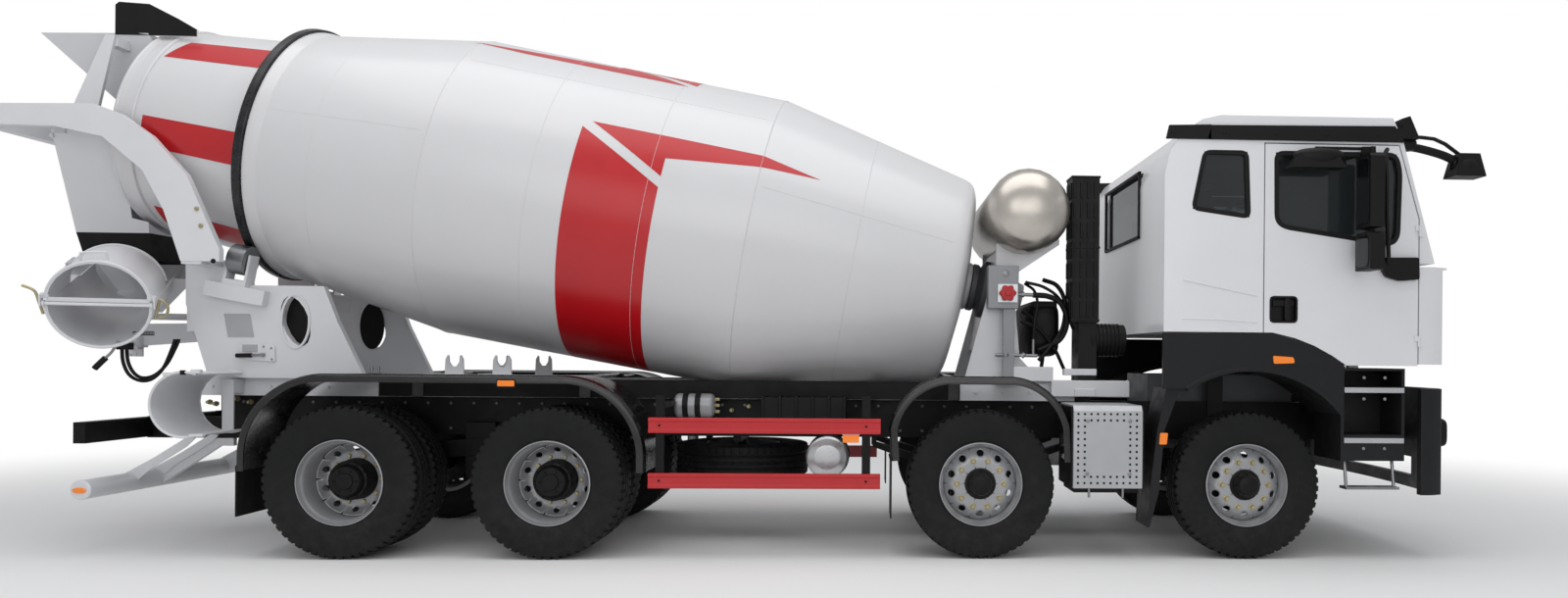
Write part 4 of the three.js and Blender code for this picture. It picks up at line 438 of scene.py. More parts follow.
BRASS = finish("plated_nuts", rgb("aca17c"), 0.36, 0.6, vary=0.12, dust=0.1, grain=500)
STEEL = finish("bare_steel", rgb("8f9193"), 0.34, 0.9, vary=0.12, dust=0.1, grain=300)
CAST = finish("cast_metal", rgb("5c5e61"), 0.5, 0.4, vary=0.15, dust=0.15, grain=180, relief=0.001)
ALUMINIUM = brushed("brushed_aluminium", rgb("c4c6c8"), 0.3, (1, 30, 30), 0.85, 0.06)
STAINLESS = brushed("stainless", rgb("c2bcb4"), 0.27, (30, 1, 30), 0.9, 0.08)
GREASE = finish("greasy_steel", rgb("2d2d2f"), 0.28, 0.5, vary=0.35, dust=0, grain=60, relief=0.002, patch=9)
ORANGE = finish("orange_lens", rgb("f07a12"), 0.15, vary=0.05, dust=0, grain=300, Emission_Strength=0.12,
                Emission_Color=(1, 0.35, 0.03, 1), Coat_Weight=0.6)
MIRROR = finish("mirror_glass", rgb("2c2e31"), 0.08, 0.8, vary=0.03, dust=0, grain=200, relief=0.00002)
RED_LENS = finish("red_lens", rgb("b30f14"), 0.15, vary=0.05, dust=0, grain=300, Coat_Weight=0.6)
CLEAR_LENS = finish("clear_lens", rgb("d9dde0"), 0.08, 0.4, vary=0.04, dust=0, grain=200, Coat_Weight=0.7)
TRIM = finish("cab_trim", rgb("3a3b3e"), 0.7, vary=0.08, dust=0, grain=500, relief=0.0004)


def window_finish():
    """Tinted glass: clear through, faint smears in its gloss."""
    f = Finish("tinted_glass", rgb("6f7678"), 0.02, 0, IOR=1.45, Transmission_Weight=0.92)
    f.link(f.ramp(f.noise(6, 4), 0.4, 0.8, 0.01, 0.06), "Roughness")
    base = f.mix(f.noise(3, 2), rgb("687073"), rgb("787f82"))
    f.link(base, "Base Color")
    return f.m


GLASS = window_finish()

# ---------------------------------------------------------------- camera and light
def set_camera():
    """Viewpoint at the right side, level, a little towards the cab's end."""
    yaw, roll = math.radians(-2.34), math.radians(0.51)
    cam = bpy.data.cameras.new("camera")
    ob = bpy.data.objects.new("camera", cam)
    bpy.context.scene.collection.objects.link(ob)
    turn = Matrix.Rotation(yaw, 4, "Z") @ Matrix.Rotation(PI / 2, 4, "X") @ Matrix.Rotation(roll, 4, "Z")
    place = at(3589, -8621, 1413)
    ob.matrix_world = Matrix.Translation(place) @ turn
    cam.sensor_width, cam.lens = 36, 24.42
    cam.shift_x, cam.shift_y = -0.0805, 0.0374
    cam.clip_end = 200
    bpy.context.scene.camera = ob


def area_light(name, place, aim, size, power):
    """Rectangular lamp that looks at a point."""
    lamp = bpy.data.lights.new(name, "AREA")
    lamp.shape, lamp.size, lamp.size_y = "RECTANGLE", *size
    lamp.energy = power
    ob = bpy.data.objects.new(name, lamp)
    ob.location = place
    ob.rotation_euler = (Vector(aim) - Vector(place)).to_track_quat("-Z", "Y").to_euler()
    bpy.context.scene.collection.objects.link(ob)


def light_the_set():
    """Soft sky, one wide lamp overhead and one weak lamp in front; the floor fades to white far out."""
    scene = bpy.context.scene
    scene.view_settings.view_transform = "Standard"
    world = bpy.data.worlds.new("sky")
    scene.world = world
    world.use_nodes = True
    t = world.node_tree
    shade = t.nodes["Background"]
    shade.inputs[0].default_value = (0.97, 0.98, 1, 1)
    shade.inputs[1].default_value = 0.56
    white = t.nodes.new("ShaderNodeBackground")
    white.inputs[0].default_value = (1, 1, 1, 1)
    path = t.nodes.new("ShaderNodeLightPath")
    mix = t.nodes.new("ShaderNodeMixShader")
    total = t.nodes.new("ShaderNodeMath")
    total.operation = "MAXIMUM"
    t.links.new(path.outputs["Is Camera Ray"], total.inputs[0])
    t.links.new(path.outputs["Is Transmission Ray"], total.inputs[1])
    t.links.new(total.outputs[0], mix.inputs[0])
    t.links.new(shade.outputs[0], mix.inputs[1])
    t.links.new(white.outputs[0], mix.inputs[2])
    t.links.new(mix.outputs[0], t.nodes["World Output"].inputs[0])
    area_light("overhead", (0, -2.5, 9.5), (0, 0, 1), (13, 7), 470)
    area_light("front_fill", (0.5, -12, 4.5), (0, 0, 1.6), (12, 5), 230)

    u, v = np.meshgrid(np.linspace(-1, 1, 41), np.linspace(-1, 1, 41), indexing="ij")
    V, F = skin(np.stack([u * 60, v * 60, 0 * u], -1))
    mesh = bpy.data.meshes.new("floor")
    mesh.from_pydata(V, [], F)
    floor = bpy.data.objects.new("floor", mesh)
    scene.collection.objects.link(floor)
    f = Finish("pale_floor", (0.86, 0.86, 0.86), 0.9)
    far = f.node("VectorMath", Vector=f.p)
    far.operation = "LENGTH"
    glow = f.node("Emission")
    glow.inputs[0].default_value = (1, 1, 1, 1)
    blend = f.t.nodes.new("ShaderNodeMixShader")
    see = f.node("LightPath").outputs["Is Camera Ray"]
    f.t.links.new(f.times(f.ramp(far.outputs["Value"], 6.5, 12.5), see), blend.inputs[0])
    f.t.links.new(f.b.outputs[0], blend.inputs[1])
    f.t.links.new(glow.outputs[0], blend.inputs[2])
    f.t.links.new(blend.outputs[0], f.t.nodes["Material Output"].inputs[0])
    mesh.materials.append(f.m)


set_camera()
light_the_set()

# ---------------------------------------------------------------- wheels
LUGS = 54


def tread_cut(profile_y, r, half, theta_f):
    """How deep the tread is cut at each point: cross slots at the shoulders, zigzag grooves between."""
    y = np.abs(profile_y)[:, None] / half
    f = theta_f[None, :]
    slot = ((y > 0.52) & (y < 0.99) & (r[:, None] > 0.478)) * (f < 0.355)
    zig = 0.05 * np.where((f > 0.36), 1, -1)
    signed = profile_y[:, None] / half
    groove = np.zeros_like(slot, float)
    for middle in (-0.36, 0.0, 0.36):
        groove = np.maximum(groove, (np.abs(signed - middle - zig) < 0.055) * 1.0)
    groove *= y < 0.5
    return np.maximum(slot * 0.011, groove * 0.012)


def tyre_shape(middle, half):
    """Closed ring: side wall, shoulder and tread as one profile, cut by the tread pattern."""
    side = smooth_line([[0.80, 0.292], [0.93, 0.318], [1.0, 0.375], [1.0, 0.42], [0.965, 0.462],
                        [0.945, 0.478]], 3)
    step = [[0.94, 0.479], [0.925, 0.500], [0.885, 0.514], [0.83, 0.520]]
    crown = [[y, 0.5205 + 0.0045 * (1 - (y / 0.83) ** 2)] for y in
             (0.72, 0.6, 0.53, 0.515, 0.475, 0.47, 0.36, 0.25, 0.245, 0.11, 0.105, 0.0)]
    one = np.vstack([side, step, crown])
    other = one[:-1][::-1] * [-1, 1]
    prof = np.vstack([one, other])
    y, r = prof[:, 0] * half, prof[:, 1].copy()
    inner = np.array([[-0.7, 0.288], [-0.5, 0.4], [0.5, 0.4], [0.7, 0.288]])
    k = np.array([0.0, 0.06, 0.33, 0.36, 0.40, 0.70, 0.96])
    theta_f = np.tile(k, LUGS)
    theta = (np.repeat(np.arange(LUGS), len(k)) + theta_f) * 2 * PI / LUGS
    depth = tread_cut(y, r, half, theta_f)
    R = r[:, None] - depth
    R = np.vstack([R, np.repeat(inner[:, 1:], len(theta), 1)])
    Y = np.concatenate([y, inner[:, 0] * half])
    P = np.stack([R * np.cos(theta), np.repeat(Y[:, None], len(theta), 1), R * np.sin(theta)], -1)
    return skin(P + np.array(middle), wrap_u=True, wrap_v=True)


def dish_with_holes(middle, out, height, r0, r1, rc, across, along, count):
    """Disc between two radii with oval holes: in each sector, rings run from the oval to the sector's edge,
    and the disc stands at height(r) along the axle."""
    t = np.linspace(0, 2 * PI, 48, endpoint=False)
    half = PI / count
    oval = np.stack([across * np.cos(t), rc + along * np.sin(t)], 1)
    dx, dy = np.cos(t), np.sin(t)
    reach = np.minimum(half / np.maximum(np.abs(dx), 1e-9),
                       np.where(dy > 0, r1 - rc, rc - r0) / np.maximum(np.abs(dy), 1e-9))
    edge = np.stack([dx * reach, rc + dy * reach], 1)
    v = np.linspace(0, 1, 7)[:, None, None]
    polar = oval + (edge - oval) * v
    shapes = []
    for k in range(count):
        th = polar[..., 0] + 2 * half * k
        r = polar[..., 1]
        P = np.stack([r * np.sin(th), out * height(r), r * np.cos(th)], -1) + np.array(middle)
        shapes.append(skin(P, wrap_v=True))
    return shapes


def wheel_axis(middle, out):
    """The axle's line through a wheel's middle, outwards."""
    return Axis(middle, (0, out, 0))


def nut_ring(middle, out, a, radius, count, size, height, sides=6):
    """Nuts at equal angles on a circle, at a along the axle."""
    ax = wheel_axis(middle, out)
    t = np.arange(count) * 2 * PI / count
    return bolts(list(ax(np.full(count, a), radius * np.cos(t), radius * np.sin(t))), (0, out, 0), size,
                 height, sides)


def steer_wheel(axle, word, side):
    """Tyre, rim, pierced disc, nuts and a stepped hub with its brake drum."""
    body = f"steer_wheel_{axle}_{word}"
    low, high = (np.array(p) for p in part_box(body))
    c = np.array([(low[0] + high[0]) / 2, side * STEER_OUT, WHEEL_Z * 0.001])
    ax = wheel_axis(c, side)
    piece(body + "_tyre", tyre_shape(c, 0.145), TYRE, body, smooth=24, replaces=body)
    height = lambda r: np.interp(r, [0.10, 0.165, 0.185, 0.205, 0.235, 0.262],
                                 [0.088, 0.088, 0.086, 0.076, 0.05, 0.03])
    rim = turned(ax, [(0.118, 0.296), (0.126, 0.294), (0.128, 0.288), (0.118, 0.283), (0.098, 0.281),
                      (0.088, 0.274), (0.07, 0.2625), (0.03, 0.2605), (-0.1, 0.2605), (-0.12, 0.284),
                      (-0.126, 0.294), (-0.1, 0.288), (0.1, 0.288)], 72)
    disc = dish_with_holes(c, side, height, 0.10, 0.262, 0.2175, 0.118, 0.0235, 10)
    piece(body + "_rim", [rim], SILVER, body, smooth=40)
    piece(body + "_disc", disc, SILVER, body, smooth=40, thick=0.012, offset=-1)
    piece(body + "_nuts", nut_ring(c, side, 0.086, 0.1675, 10, 0.0165, 0.026)
          + nut_ring(c, side, 0.086, 0.1675, 10, 0.022, 0.006, 16), BRASS, body, smooth=30)
    hub = turned(ax, [(0.0, 0), (0.0, 0.088), (0.05, 0.112), (0.086, 0.112), (0.094, 0.108), (0.096, 0.092),
                      (0.112, 0.09), (0.118, 0.082), (0.150, 0.078), (0.168, 0.070), (0.176, 0.056),
                      (0.178, 0.0)], 48, closed=False)
    spokes = nut_ring(c, side, 0.112, 0.083, 8, 0.0085, 0.012)
    brake = turned(ax, [(-0.12, 0.0), (-0.12, 0.21), (0.0, 0.215), (0.0, 0.0)], 48, closed=False)
    piece(body + "_hub", [hub, brake] + spokes, BLACK, body, smooth=30)


def twin_wheels(axle, word, side):
    """Two tyres on their rims, the outer one's sunk disc, nuts and a long hub."""
    body = f"twin_wheels_{axle}_{word}"
    low, high = (np.array(p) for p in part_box(body))
    cx = (low[0] + high[0]) / 2
    outer, inner = (np.array([cx, side * y, WHEEL_Z * 0.001]) for y in (TWIN_OUT, TWIN_IN))
    ax = wheel_axis(outer, side)
    piece(body + "_tyre", tyre_shape(outer, 0.14), TYRE, body, smooth=24, replaces=body)
    piece(body + "_inner_tyre", tyre_shape(inner, 0.14), TYRE, body, smooth=24)
    rim = turned(ax, [(0.114, 0.296), (0.122, 0.294), (0.124, 0.288), (0.112, 0.283), (0.092, 0.281),
                      (0.082, 0.272), (0.06, 0.263), (0.0, 0.2585), (-0.09, 0.2585), (-0.1, 0.27),
                      (-0.12, 0.294), (-0.1, 0.296), (0.09, 0.288)], 72)
    height = lambda r: np.interp(r, [0.10, 0.19, 0.21, 0.235, 0.26], [-0.15, -0.15, -0.142, -0.12, -0.085])
    disc = dish_with_holes(outer, side, height, 0.10, 0.26, 0.222, 0.105, 0.02, 10)
    far_rim = turned(wheel_axis(inner, side), [(0.11, 0.294), (0.09, 0.262), (-0.1, 0.262), (-0.12, 0.294),
                                               (0.0, 0.288)], 48)
    piece(body + "_rims", [rim, far_rim], SILVER, body, smooth=40)
    piece(body + "_disc", disc, SILVER, body, smooth=40, thick=0.012, offset=-1)
    piece(body + "_nuts", nut_ring(outer, side, -0.15, 0.1675, 10, 0.0165, 0.03)
          + nut_ring(outer, side, -0.15, 0.1675, 10, 0.022, 0.006, 16), BRASS, body, smooth=30)
    hub = turned(ax, [(-0.2, 0), (-0.2, 0.145), (-0.13, 0.147), (-0.12, 0.142), (-0.02, 0.139),
                      (-0.002, 0.132), (0.002, 0.116), (0.026, 0.110), (0.04, 0.098), (0.044, 0.06),
                      (0.052, 0.055), (0.054, 0.0)], 56, closed=False)
    drum = turned(wheel_axis(inner, side), [(-0.13, 0.1), (-0.13, 0.205), (0.1, 0.21), (0.16, 0.2),
                                            (0.16, 0.1)], 56)
    ribs = nut_ring(outer, side, -0.002, 0.124, 12, 0.008,
                    0.01) + nut_ring(outer, side, 0.042, 0.078, 6, 0.007, 0.008)
    piece(body + "_hub", [hub, drum] + ribs, BLACK, body, smooth=30)


for side, word in SIDES:
    for axle in "12":
        steer_wheel(axle, word, side)
        twin_wheels(axle, word, side)

# ---------------------------------------------------------------- drum
def drum_radius(s):
    """Outer radius of the drum's shell at s along its axis."""
    return np.interp(s, [-0.72, 0.18, 0.36, 1.599, 3.892, 5.4], [0.772, 0.868, 0.955, 1.16, 1.16, 0.83])


def drum_shell():
    """Outer and inner walls turned about the drum's axis, with weld beads where the courses meet."""
    outer = rounded_profile([[-0.70, 0.774], [0.20, 0.868], [0.30, 0.868]], 0.02)
    belly = rounded_profile([[0.30, 0.955], [0.36, 0.956], [1.599, 1.16], [3.892, 1.16], [5.4, 0.83],
                             [5.455, 0.80], [5.49, 0.715], [5.54, 0.30], [5.54, 0.19], [5.588, 0.19],
                             [5.588, 0.0]], 0.035)
    inner = np.array([[5.53, 0.0], [5.53, 0.3], [5.475, 0.71], [5.4, 0.82], [3.892, 1.15], [1.599, 1.15],
                      [0.36, 0.945], [0.2, 0.858], [-0.70, 0.76]])
    prof = np.vstack([outer, belly, inner])
    beads = [turned(DRUM, [(s - 0.006, drum_radius(s) - 0.002), (s, drum_radius(s) + 0.0022),
                           (s + 0.006, drum_radius(s) - 0.002)], 144)
             for s in (0.78, 1.60, 2.35, 3.15, 3.89, 4.65)]
    piece("drum_shell", [turned(DRUM, prof, 144)] + beads, DRUM_WHITE, "drum", smooth=28, replaces="drum")
    seams = []
    for s0, s1, deg in ((0.4, 1.55, 12), (0.4, 1.55, 132), (0.4, 1.55, 252), (1.65, 3.85, 47),
                        (1.65, 3.85, 227), (3.93, 5.35, 16), (3.93, 5.35, 136), (3.93, 5.35, 256)):
        s = np.linspace(s0, s1, 40)[:, None]
        w = np.array([[-0.004, -0.003], [0, 0.0018], [0.004, -0.003]])
        r = drum_radius(s) + w[:, 1]
        phi = math.radians(deg) + w[:, 0] / r
        P = DRUM(s + 0 * r, -r * np.cos(phi), r * np.sin(phi))
        seams.append(closed_skin(P))
    piece("drum_long_seams", seams, DRUM_WHITE, "drum", smooth=60)


def mouth_beads():
    """Two rolled hoops round the mouth and one raised flange between them."""
    hoops = []
    for s, r, w in ((-0.735, 0.768, 0.016), (-0.60, 0.790, 0.012)):
        t = np.linspace(0, 2 * PI, 12, endpoint=False)
        hoops.append(turned(DRUM, np.stack([s + w * np.cos(t), r + w * np.sin(t)], 1), 144))
    band = turned(DRUM, rounded_profile([(-0.735, 0.762), (-0.735, 0.78), (-0.69, 0.779), (-0.60, 0.797),
                                         (-0.585, 0.79), (-0.585, 0.78)], 0.01), 144)
    piece("drum_mouth", hoops + [band], DRUM_WHITE, "drum", smooth=50)


def roller_ring():
    """Machined track with a raised face, darkened by grease, and the collar beside it."""
    prof = rounded_profile([(0.238, 0.86), (0.238, 0.985), (0.243, 0.99), (0.293, 0.99), (0.298, 0.985),
                            (0.298, 0.95), (0.298, 0.86)], 0.004, 3)
    piece("roller_ring", turned(DRUM, prof, 144), GREASE, "drum", smooth=35)
    collar = rounded_profile([(0.299, 0.95), (0.299, 0.972), (0.33, 0.972), (0.40, 0.965), (0.40, 0.955)],
                             0.008, 4)
    piece("ring_collar", turned(DRUM, collar, 144), DRUM_WHITE, "drum", smooth=50)


def on_drum(corners, nu=24, nv=24, lift=0.0012):
    """Patch on the drum between four (s, degrees) corners: both sides are straight in s and angle."""
    (a, b, c, d) = np.asarray(corners, float)
    u, v = np.linspace(0, 1, nu)[:, None, None], np.linspace(0, 1, nv)[None, :, None]
    q = (1 - u) * ((1 - v) * a + v * d) + u * ((1 - v) * b + v * c)
    s, phi = q[..., 0], np.radians(q[..., 1])
    r = drum_radius(s) + lift
    return skin(DRUM(s, -r * np.cos(phi), r * np.sin(phi)))


def stripes():
    """Two bands round the belly, each with a slit and a pointed wing, and seven bars on the rear cone."""
    patches = []
    for turn in (0, 180):
        for flip in (1, -1):
            def spot(s, deg):
                """A corner on this band, turned half a turn or mirrored along the drum."""
                return (s, deg + turn) if flip > 0 else (5.84 - s, -90 - deg + turn)

            quad = lambda *pts, nu=20, nv=20: patches.append(on_drum([spot(*p) for p in pts], nu, nv))
            quad((2.61, -45.5), (3.23, -45.5), (3.23, 8.2), (2.61, 25.4), nu=12, nv=48)
            quad((2.665, 28.2), (3.23, 12.2), (3.23, 28.2), (3.0, 28.2), nu=24, nv=24)
            quad((3.23, 19.2), (3.892, 23.2), (3.892, 28.0), (3.23, 28.2), nu=24, nv=8)
            quad((3.892, 23.2), (4.31, 25.8), (4.31, 25.85), (3.892, 28.0), nu=24, nv=8)
    for k in range(7):
        mid = 43.5 - k * 360 / 7
        cut = 0.04 if k == 0 else 0.0
        patches.append(on_drum([(-0.53 - cut, mid - 7.8), (0.2, mid - 7.8), (0.2, mid + 7.8),
                                (-0.53 + cut, mid + 7.8)], 20, 16))
    piece("drum_stripes", patches, RED, "drum", smooth=60)


drum_shell()
mouth_beads()
roller_ring()
stripes()

# ---------------------------------------------------------------- more shapes
TRUCK, CAB = (NODES[n]["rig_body"] for n in ("subframe", "cab_shell"))


def pod(middle, half, power=(0.35, 0.35), nu=28, nv=40):
    """Soft box: half * sign(c)|c|^p on each axis, with c the sphere's cosines and sines, in millimetres."""
    a = np.linspace(-PI / 2, PI / 2, nu)[1:-1, None]
    b = np.linspace(0, 2 * PI, nv, endpoint=False)[None, :]
    lift = lambda x, p: np.sign(x) * np.abs(x) ** p
    across = lift(np.cos(a), power[0])
    P = np.stack([across * lift(np.cos(b), power[1]), across * lift(np.sin(b), power[1]),
                  lift(np.sin(a), power[0]) + 0 * b], -1)
    return closed_skin(ats(P * np.array(half) + np.array(middle, float)))


def tube(points, radius, **kw):
    """A hose in millimetres."""
    return hose(ats(points), radius * 0.001, **kw)


def bar(a, b, radius, sides=16):
    """A rod in millimetres."""
    return rod(at(*a), at(*b), radius * 0.001, sides)


def soft(outline, r=20, n=5):
    """Closed outline whose corners become short parabolas."""
    p = np.asarray(outline, float)
    corners = zip(np.roll(p, 1, 0), p, np.roll(p, -1, 0))
    return np.vstack([round_corner(a, b, c, r, n, 2.1) for a, b, c in corners])


def rim_band(outline, out, inward, y0, y1):
    """Closed strip that follows an outline in the side view, from y0 to y1 across the truck."""
    p = np.asarray(outline, float)
    t = np.roll(p, -1, 0) - np.roll(p, 1, 0)
    t /= np.linalg.norm(t, axis=1)[:, None]
    n = np.stack([t[:, 1], -t[:, 0]], 1)
    if np.sum((p - p.mean(0)) * n) < 0:
        n = -n
    a, b = p + n * out, p - n * inward
    grid = lambda q, y: np.stack([q[:, 0], np.full(len(q), float(y)), q[:, 1]], 1)
    return skin(ats(np.stack([grid(a, y0), grid(a, y1), grid(b, y1), grid(b, y0)], 1)), wrap_u=True,
                wrap_v=True)


def in_handle_recess(c):
    """Second finish for the faces inside the door's handle recess."""
    x, z = (c.x - REAR_AXLE) * 1000, c.z * 1000
    return int(6415 < x < 6615 and 1685 < z < 1865)


# ---------------------------------------------------------------- guards and arches
GUARD_SECTION = [(1215, -50), (1215, -14), (1212, -5), (1203, 0), (1166, 0), (1160, 7), (1150, 7), (1144, 0),
                 (0, 0), (0, -9), (1190, -9), (1199, -13), (1203, -20), (1204, -50)]


def guard_band(line, inner, side):
    """The guard's section, a flat top with a bead and a hanging outer lip, carried along its side view."""
    p = np.asarray(line, float)
    t = np.gradient(p, axis=0)
    t /= np.linalg.norm(t, axis=1)[:, None]
    up = np.stack([-t[:, 1], t[:, 0]], 1)
    sec = np.array([(y or inner, h) for y, h in GUARD_SECTION], float)
    x = p[:, :1] + up[:, :1] * sec[:, 1]
    z = p[:, 1:] + up[:, 1:] * sec[:, 1]
    return closed_skin(ats(np.stack([x, side * sec[:, 0] + 0 * x, z], -1)))


def guards():
    """Mudguards over the second and the rear axles, with stays and flaps."""
    x = SECOND_AXLE_X
    front = [[x - 628, 690]] + arc(x - 205, 835, 445, 170, 95, 30) + arc(x + 185, 835, 445, 85, 12, 30)
    front += [[x + 632, 690]]
    rear = [[-690, 600]] + arc(-130, 702, 560, 178, 92, 40) + arc(1495, 702, 560, 88, 2, 40) + [[2055, 600]]
    shapes = {"front": [bar((x - 150, -1207, 1262), (x - 150, 1207, 1262), 14)],
              "rear": [bar((q, -1207, 1247), (q, 1207, 1247), 14) for q in (250, 1480)]}
    flaps = []
    for side, _ in SIDES:
        shapes["front"] += [guard_band(front, 830, side),
                            slab((x - 190, x - 110), (side * DECK_OUT, side * 555), (1091, 1276))]
        shapes["rear"] += [guard_band(rear, 655, side)]
        shapes["rear"] += [slab((q - 40, q + 40), (side * DECK_OUT, side * 555), (1091, 1261))
                           for q in (250, 1480)]
        flaps.append(slab((x - 639, x - 629), (side * 1212, side * 860), (290, 720)))
        flaps.append(slab((-693, -683), (side * 1212, side * 657), (290, 640)))
        spots = [at(x - 640, side * q, 705) for q in (880, 960, 1040, 1120, 1195)]
        spots += [at(-694, side * q, 622) for q in (700, 800, 900, 1000, 1100, 1195)]
        flaps += bolts(spots, (-1, 0, 0), 0.011, 0.006)
    for word in ("front", "rear"):
        for node in [n for n in NODES if n.startswith("mudguard") and word in n]:
            piece(f"guard_{word}", shapes[word], GUARD, NODES[node]["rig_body"], smooth=50, replaces=node)
    piece("guard_flaps", flaps, RUBBER, TRUCK, smooth=30, bevel=0.002)


def arches():
    """Lip and liner carried round the front axle, with the steps' treads and the lamps."""
    lip = [(812, 1218), (812, 1247), (818, 1251), (842, 1251), (848, 1247), (848, 1218)]
    liner = [(816, 700), (816, 1220), (826, 1220), (826, 700)]
    for side, word in SIDES:
        body = NODES["wheel_arch_" + word]["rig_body"]
        t = np.radians(np.linspace(124, 38.5, 64))[:, None]
        bands = []
        for section in (lip, liner):
            r, y = np.array(section, float).T
            P = np.stack([FRONT_AXLE_X + r * np.cos(t), side * y + 0 * t, WHEEL_Z + r * np.sin(t)], -1)
            bands.append(closed_skin(ats(P)))
        piece(f"arch_lip_{word}", bands, FENDER, body, smooth=40)
        piece(f"arch_lamp_{word}", prism(soft([(6444, 1449), (6590, 1440), (6599, 1398), (6450, 1392)], 12),
                                         (side * 1240, side * 1256)), ORANGE, body, bevel=0.003)
        piece(f"flap_lamp_{word}", prism(soft([(5657, 899), (5712, 899), (5704, 818), (5650, 818)], 8),
                                         (side * 1208, side * 1218)), ORANGE, body, bevel=0.002)
        treads = [slab((6960, 7390), (side * 1246, side * 1150), (h, h + 12)) for h in (1214, 858)]
        for h in (1226, 870):
            treads += [slab((6968 + 21 * k, 6980 + 21 * k), (side * 1243, side * 1156), (h, h + 4))
                       for k in range(20)]
        treads += [slab((6960, 7390), (side * 1249, side * 1243), (h - 20, h + 16)) for h in (1214, 858)]
        piece(f"step_treads_{word}", treads, ALUMINIUM, body, bevel=0.0012)
        piece(f"step_bolts_{word}", bolts([at(q, side * 1244, h) for q in (7100, 7250)
                                           for h in (1150, 1300, 800)], (0, side, 0), 0.012, 0.006), STEEL,
              body)


def side_guards():
    """Two red rails on posts at each side, with marker lamps."""
    for side, word in SIDES:
        node = "side_guard_" + word
        body = NODES[node]["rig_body"]
        rails = []
        for low, high in ((494, 600), (876, 984)):
            s = [(1185, low), (1208, low), (1214, low + 4), (1214, low + 24), (1209, low + 28),
                 (1209, high - 28), (1214, high - 24), (1214, high - 4), (1208, high), (1185, high)]
            rails.append(prism([(side * a, b) for a, b in s], (2085, 3690), "yz"))
        piece("guard_rails_" + word, rails, RED, body, bevel=0.0015, smooth=30, replaces=node)
        posts = []
        for x in (2160, 3590):
            posts.append(slab((x - 30, x + 30), (side * 1185, side * 1158), (500, 1136)))
            posts.append(slab((x - 30, x + 30), (side * 1160, side * RAIL_OUT), (1046, 1086)))
        posts += bolts([at(x, side * 1209, z) for x in (2160, 3590) for z in (547, 930)], (0, side, 0), 0.009,
                       0.006)
        piece("guard_posts_" + word, posts, BLACK, body, bevel=0.002)
        piece("marker_" + word, [prism(soft([(3427, 872), (3541, 872), (3541, 817), (3427, 817)], 6),
                                       (side * 1190, side * 1207))], ORANGE, body, bevel=0.002)
        piece("marker_plate_" + word, slab((3424, 3544), (side * 1188, side * 1200), (868, 888)), ALUMINIUM,
              body, bevel=0.001)
        lamp = prism(soft([(1060, 1232), (1175, 1232), (1175, 1192), (1060, 1192)], 6),
                     (side * 1212, side * 1224))
        piece("guard_lamp_" + word, lamp, ORANGE, TRUCK, bevel=0.002)
        piece("guard_lamp_rim_" + word, rim_band(soft([(1056, 1237), (1179, 1237), (1179, 1187),
                                                       (1056, 1187)], 8), 4, 4, side * 1210, side * 1222),
              PLASTIC, TRUCK, smooth=30)


guards()
arches()
side_guards()

# ---------------------------------------------------------------- between the axles and behind the cab
GREY = finish("grey_paint", rgb("8f9194"), 0.4, vary=0.04, dust=0.05, grain=200)
RED_KNOB = finish("red_moulding", rgb("b3161d"), 0.4, vary=0.05, dust=0, grain=300)
PLATE = finish("blank_plate", rgb("aeb0b2"), 0.35, 0.3, vary=0.04, dust=0.03, grain=300)


def tanks():
    """Long air tank on the rail, crosswise tank under the guard, and the ribbed box between them."""
    y, z = -700, 1047
    ax = Axis(at(2323, y, z), (1, 0, 0))
    half = [(0.12, 0.088), (0.138, 0.076), (0.148, 0.05), (0.15, 0)]
    prof = [(-a, r) for a, r in half[::-1]] + half
    piece("air_tank", turned(ax, rounded_profile(prof, 0.01), 48, closed=False), SILVER, TRUCK, smooth=40)
    bands = [turned(ax, [(a - 0.02, 0.087), (a - 0.02, 0.094), (a + 0.02, 0.094), (a + 0.02, 0.087)],
                    48) for a in (-0.06, 0.03)]
    piece("air_tank_straps", bands + [slab((2220, 2430), (-620, -560), (930, 1100))], BLACK, TRUCK)
    piece("air_tank_taps", bolts([at(2475, y, z + q) for q in (-45, 0, 45)], (1, 0, 0), 0.012, 0.03), BRASS,
          TRUCK)
    ax = Axis(at(3309, -900, 685), (0, -1, 0))
    prof = [(-0.42, 0), (-0.4, 0.1), (-0.36, 0.15), (-0.02, 0.153), (0.0, 0.153), (0.004, 0.148),
            (0.012, 0.14), (0.03, 0.09), (0.038, 0)]
    piece("cross_tank", turned(ax, rounded_profile(prof, 0.008), 56, closed=False), ALUMINIUM, TRUCK,
          smooth=40)
    piece("cross_tank_straps", [turned(ax, [(a, 0.152), (a, 0.158), (a + 0.03, 0.158), (a + 0.03, 0.152)],
                                       56) for a in (-0.3, -0.12)], BLACK, TRUCK)
    box = [slab((2821, 3434), (-760, -556), (905, 1112))]
    box += [slab((x, x + 26), (-768, -552), (900, 1120)) for x in (2815, 2940, 3060, 3180, 3300, 3414)]
    piece("ribbed_box", box, PLASTIC, TRUCK, bevel=0.006)


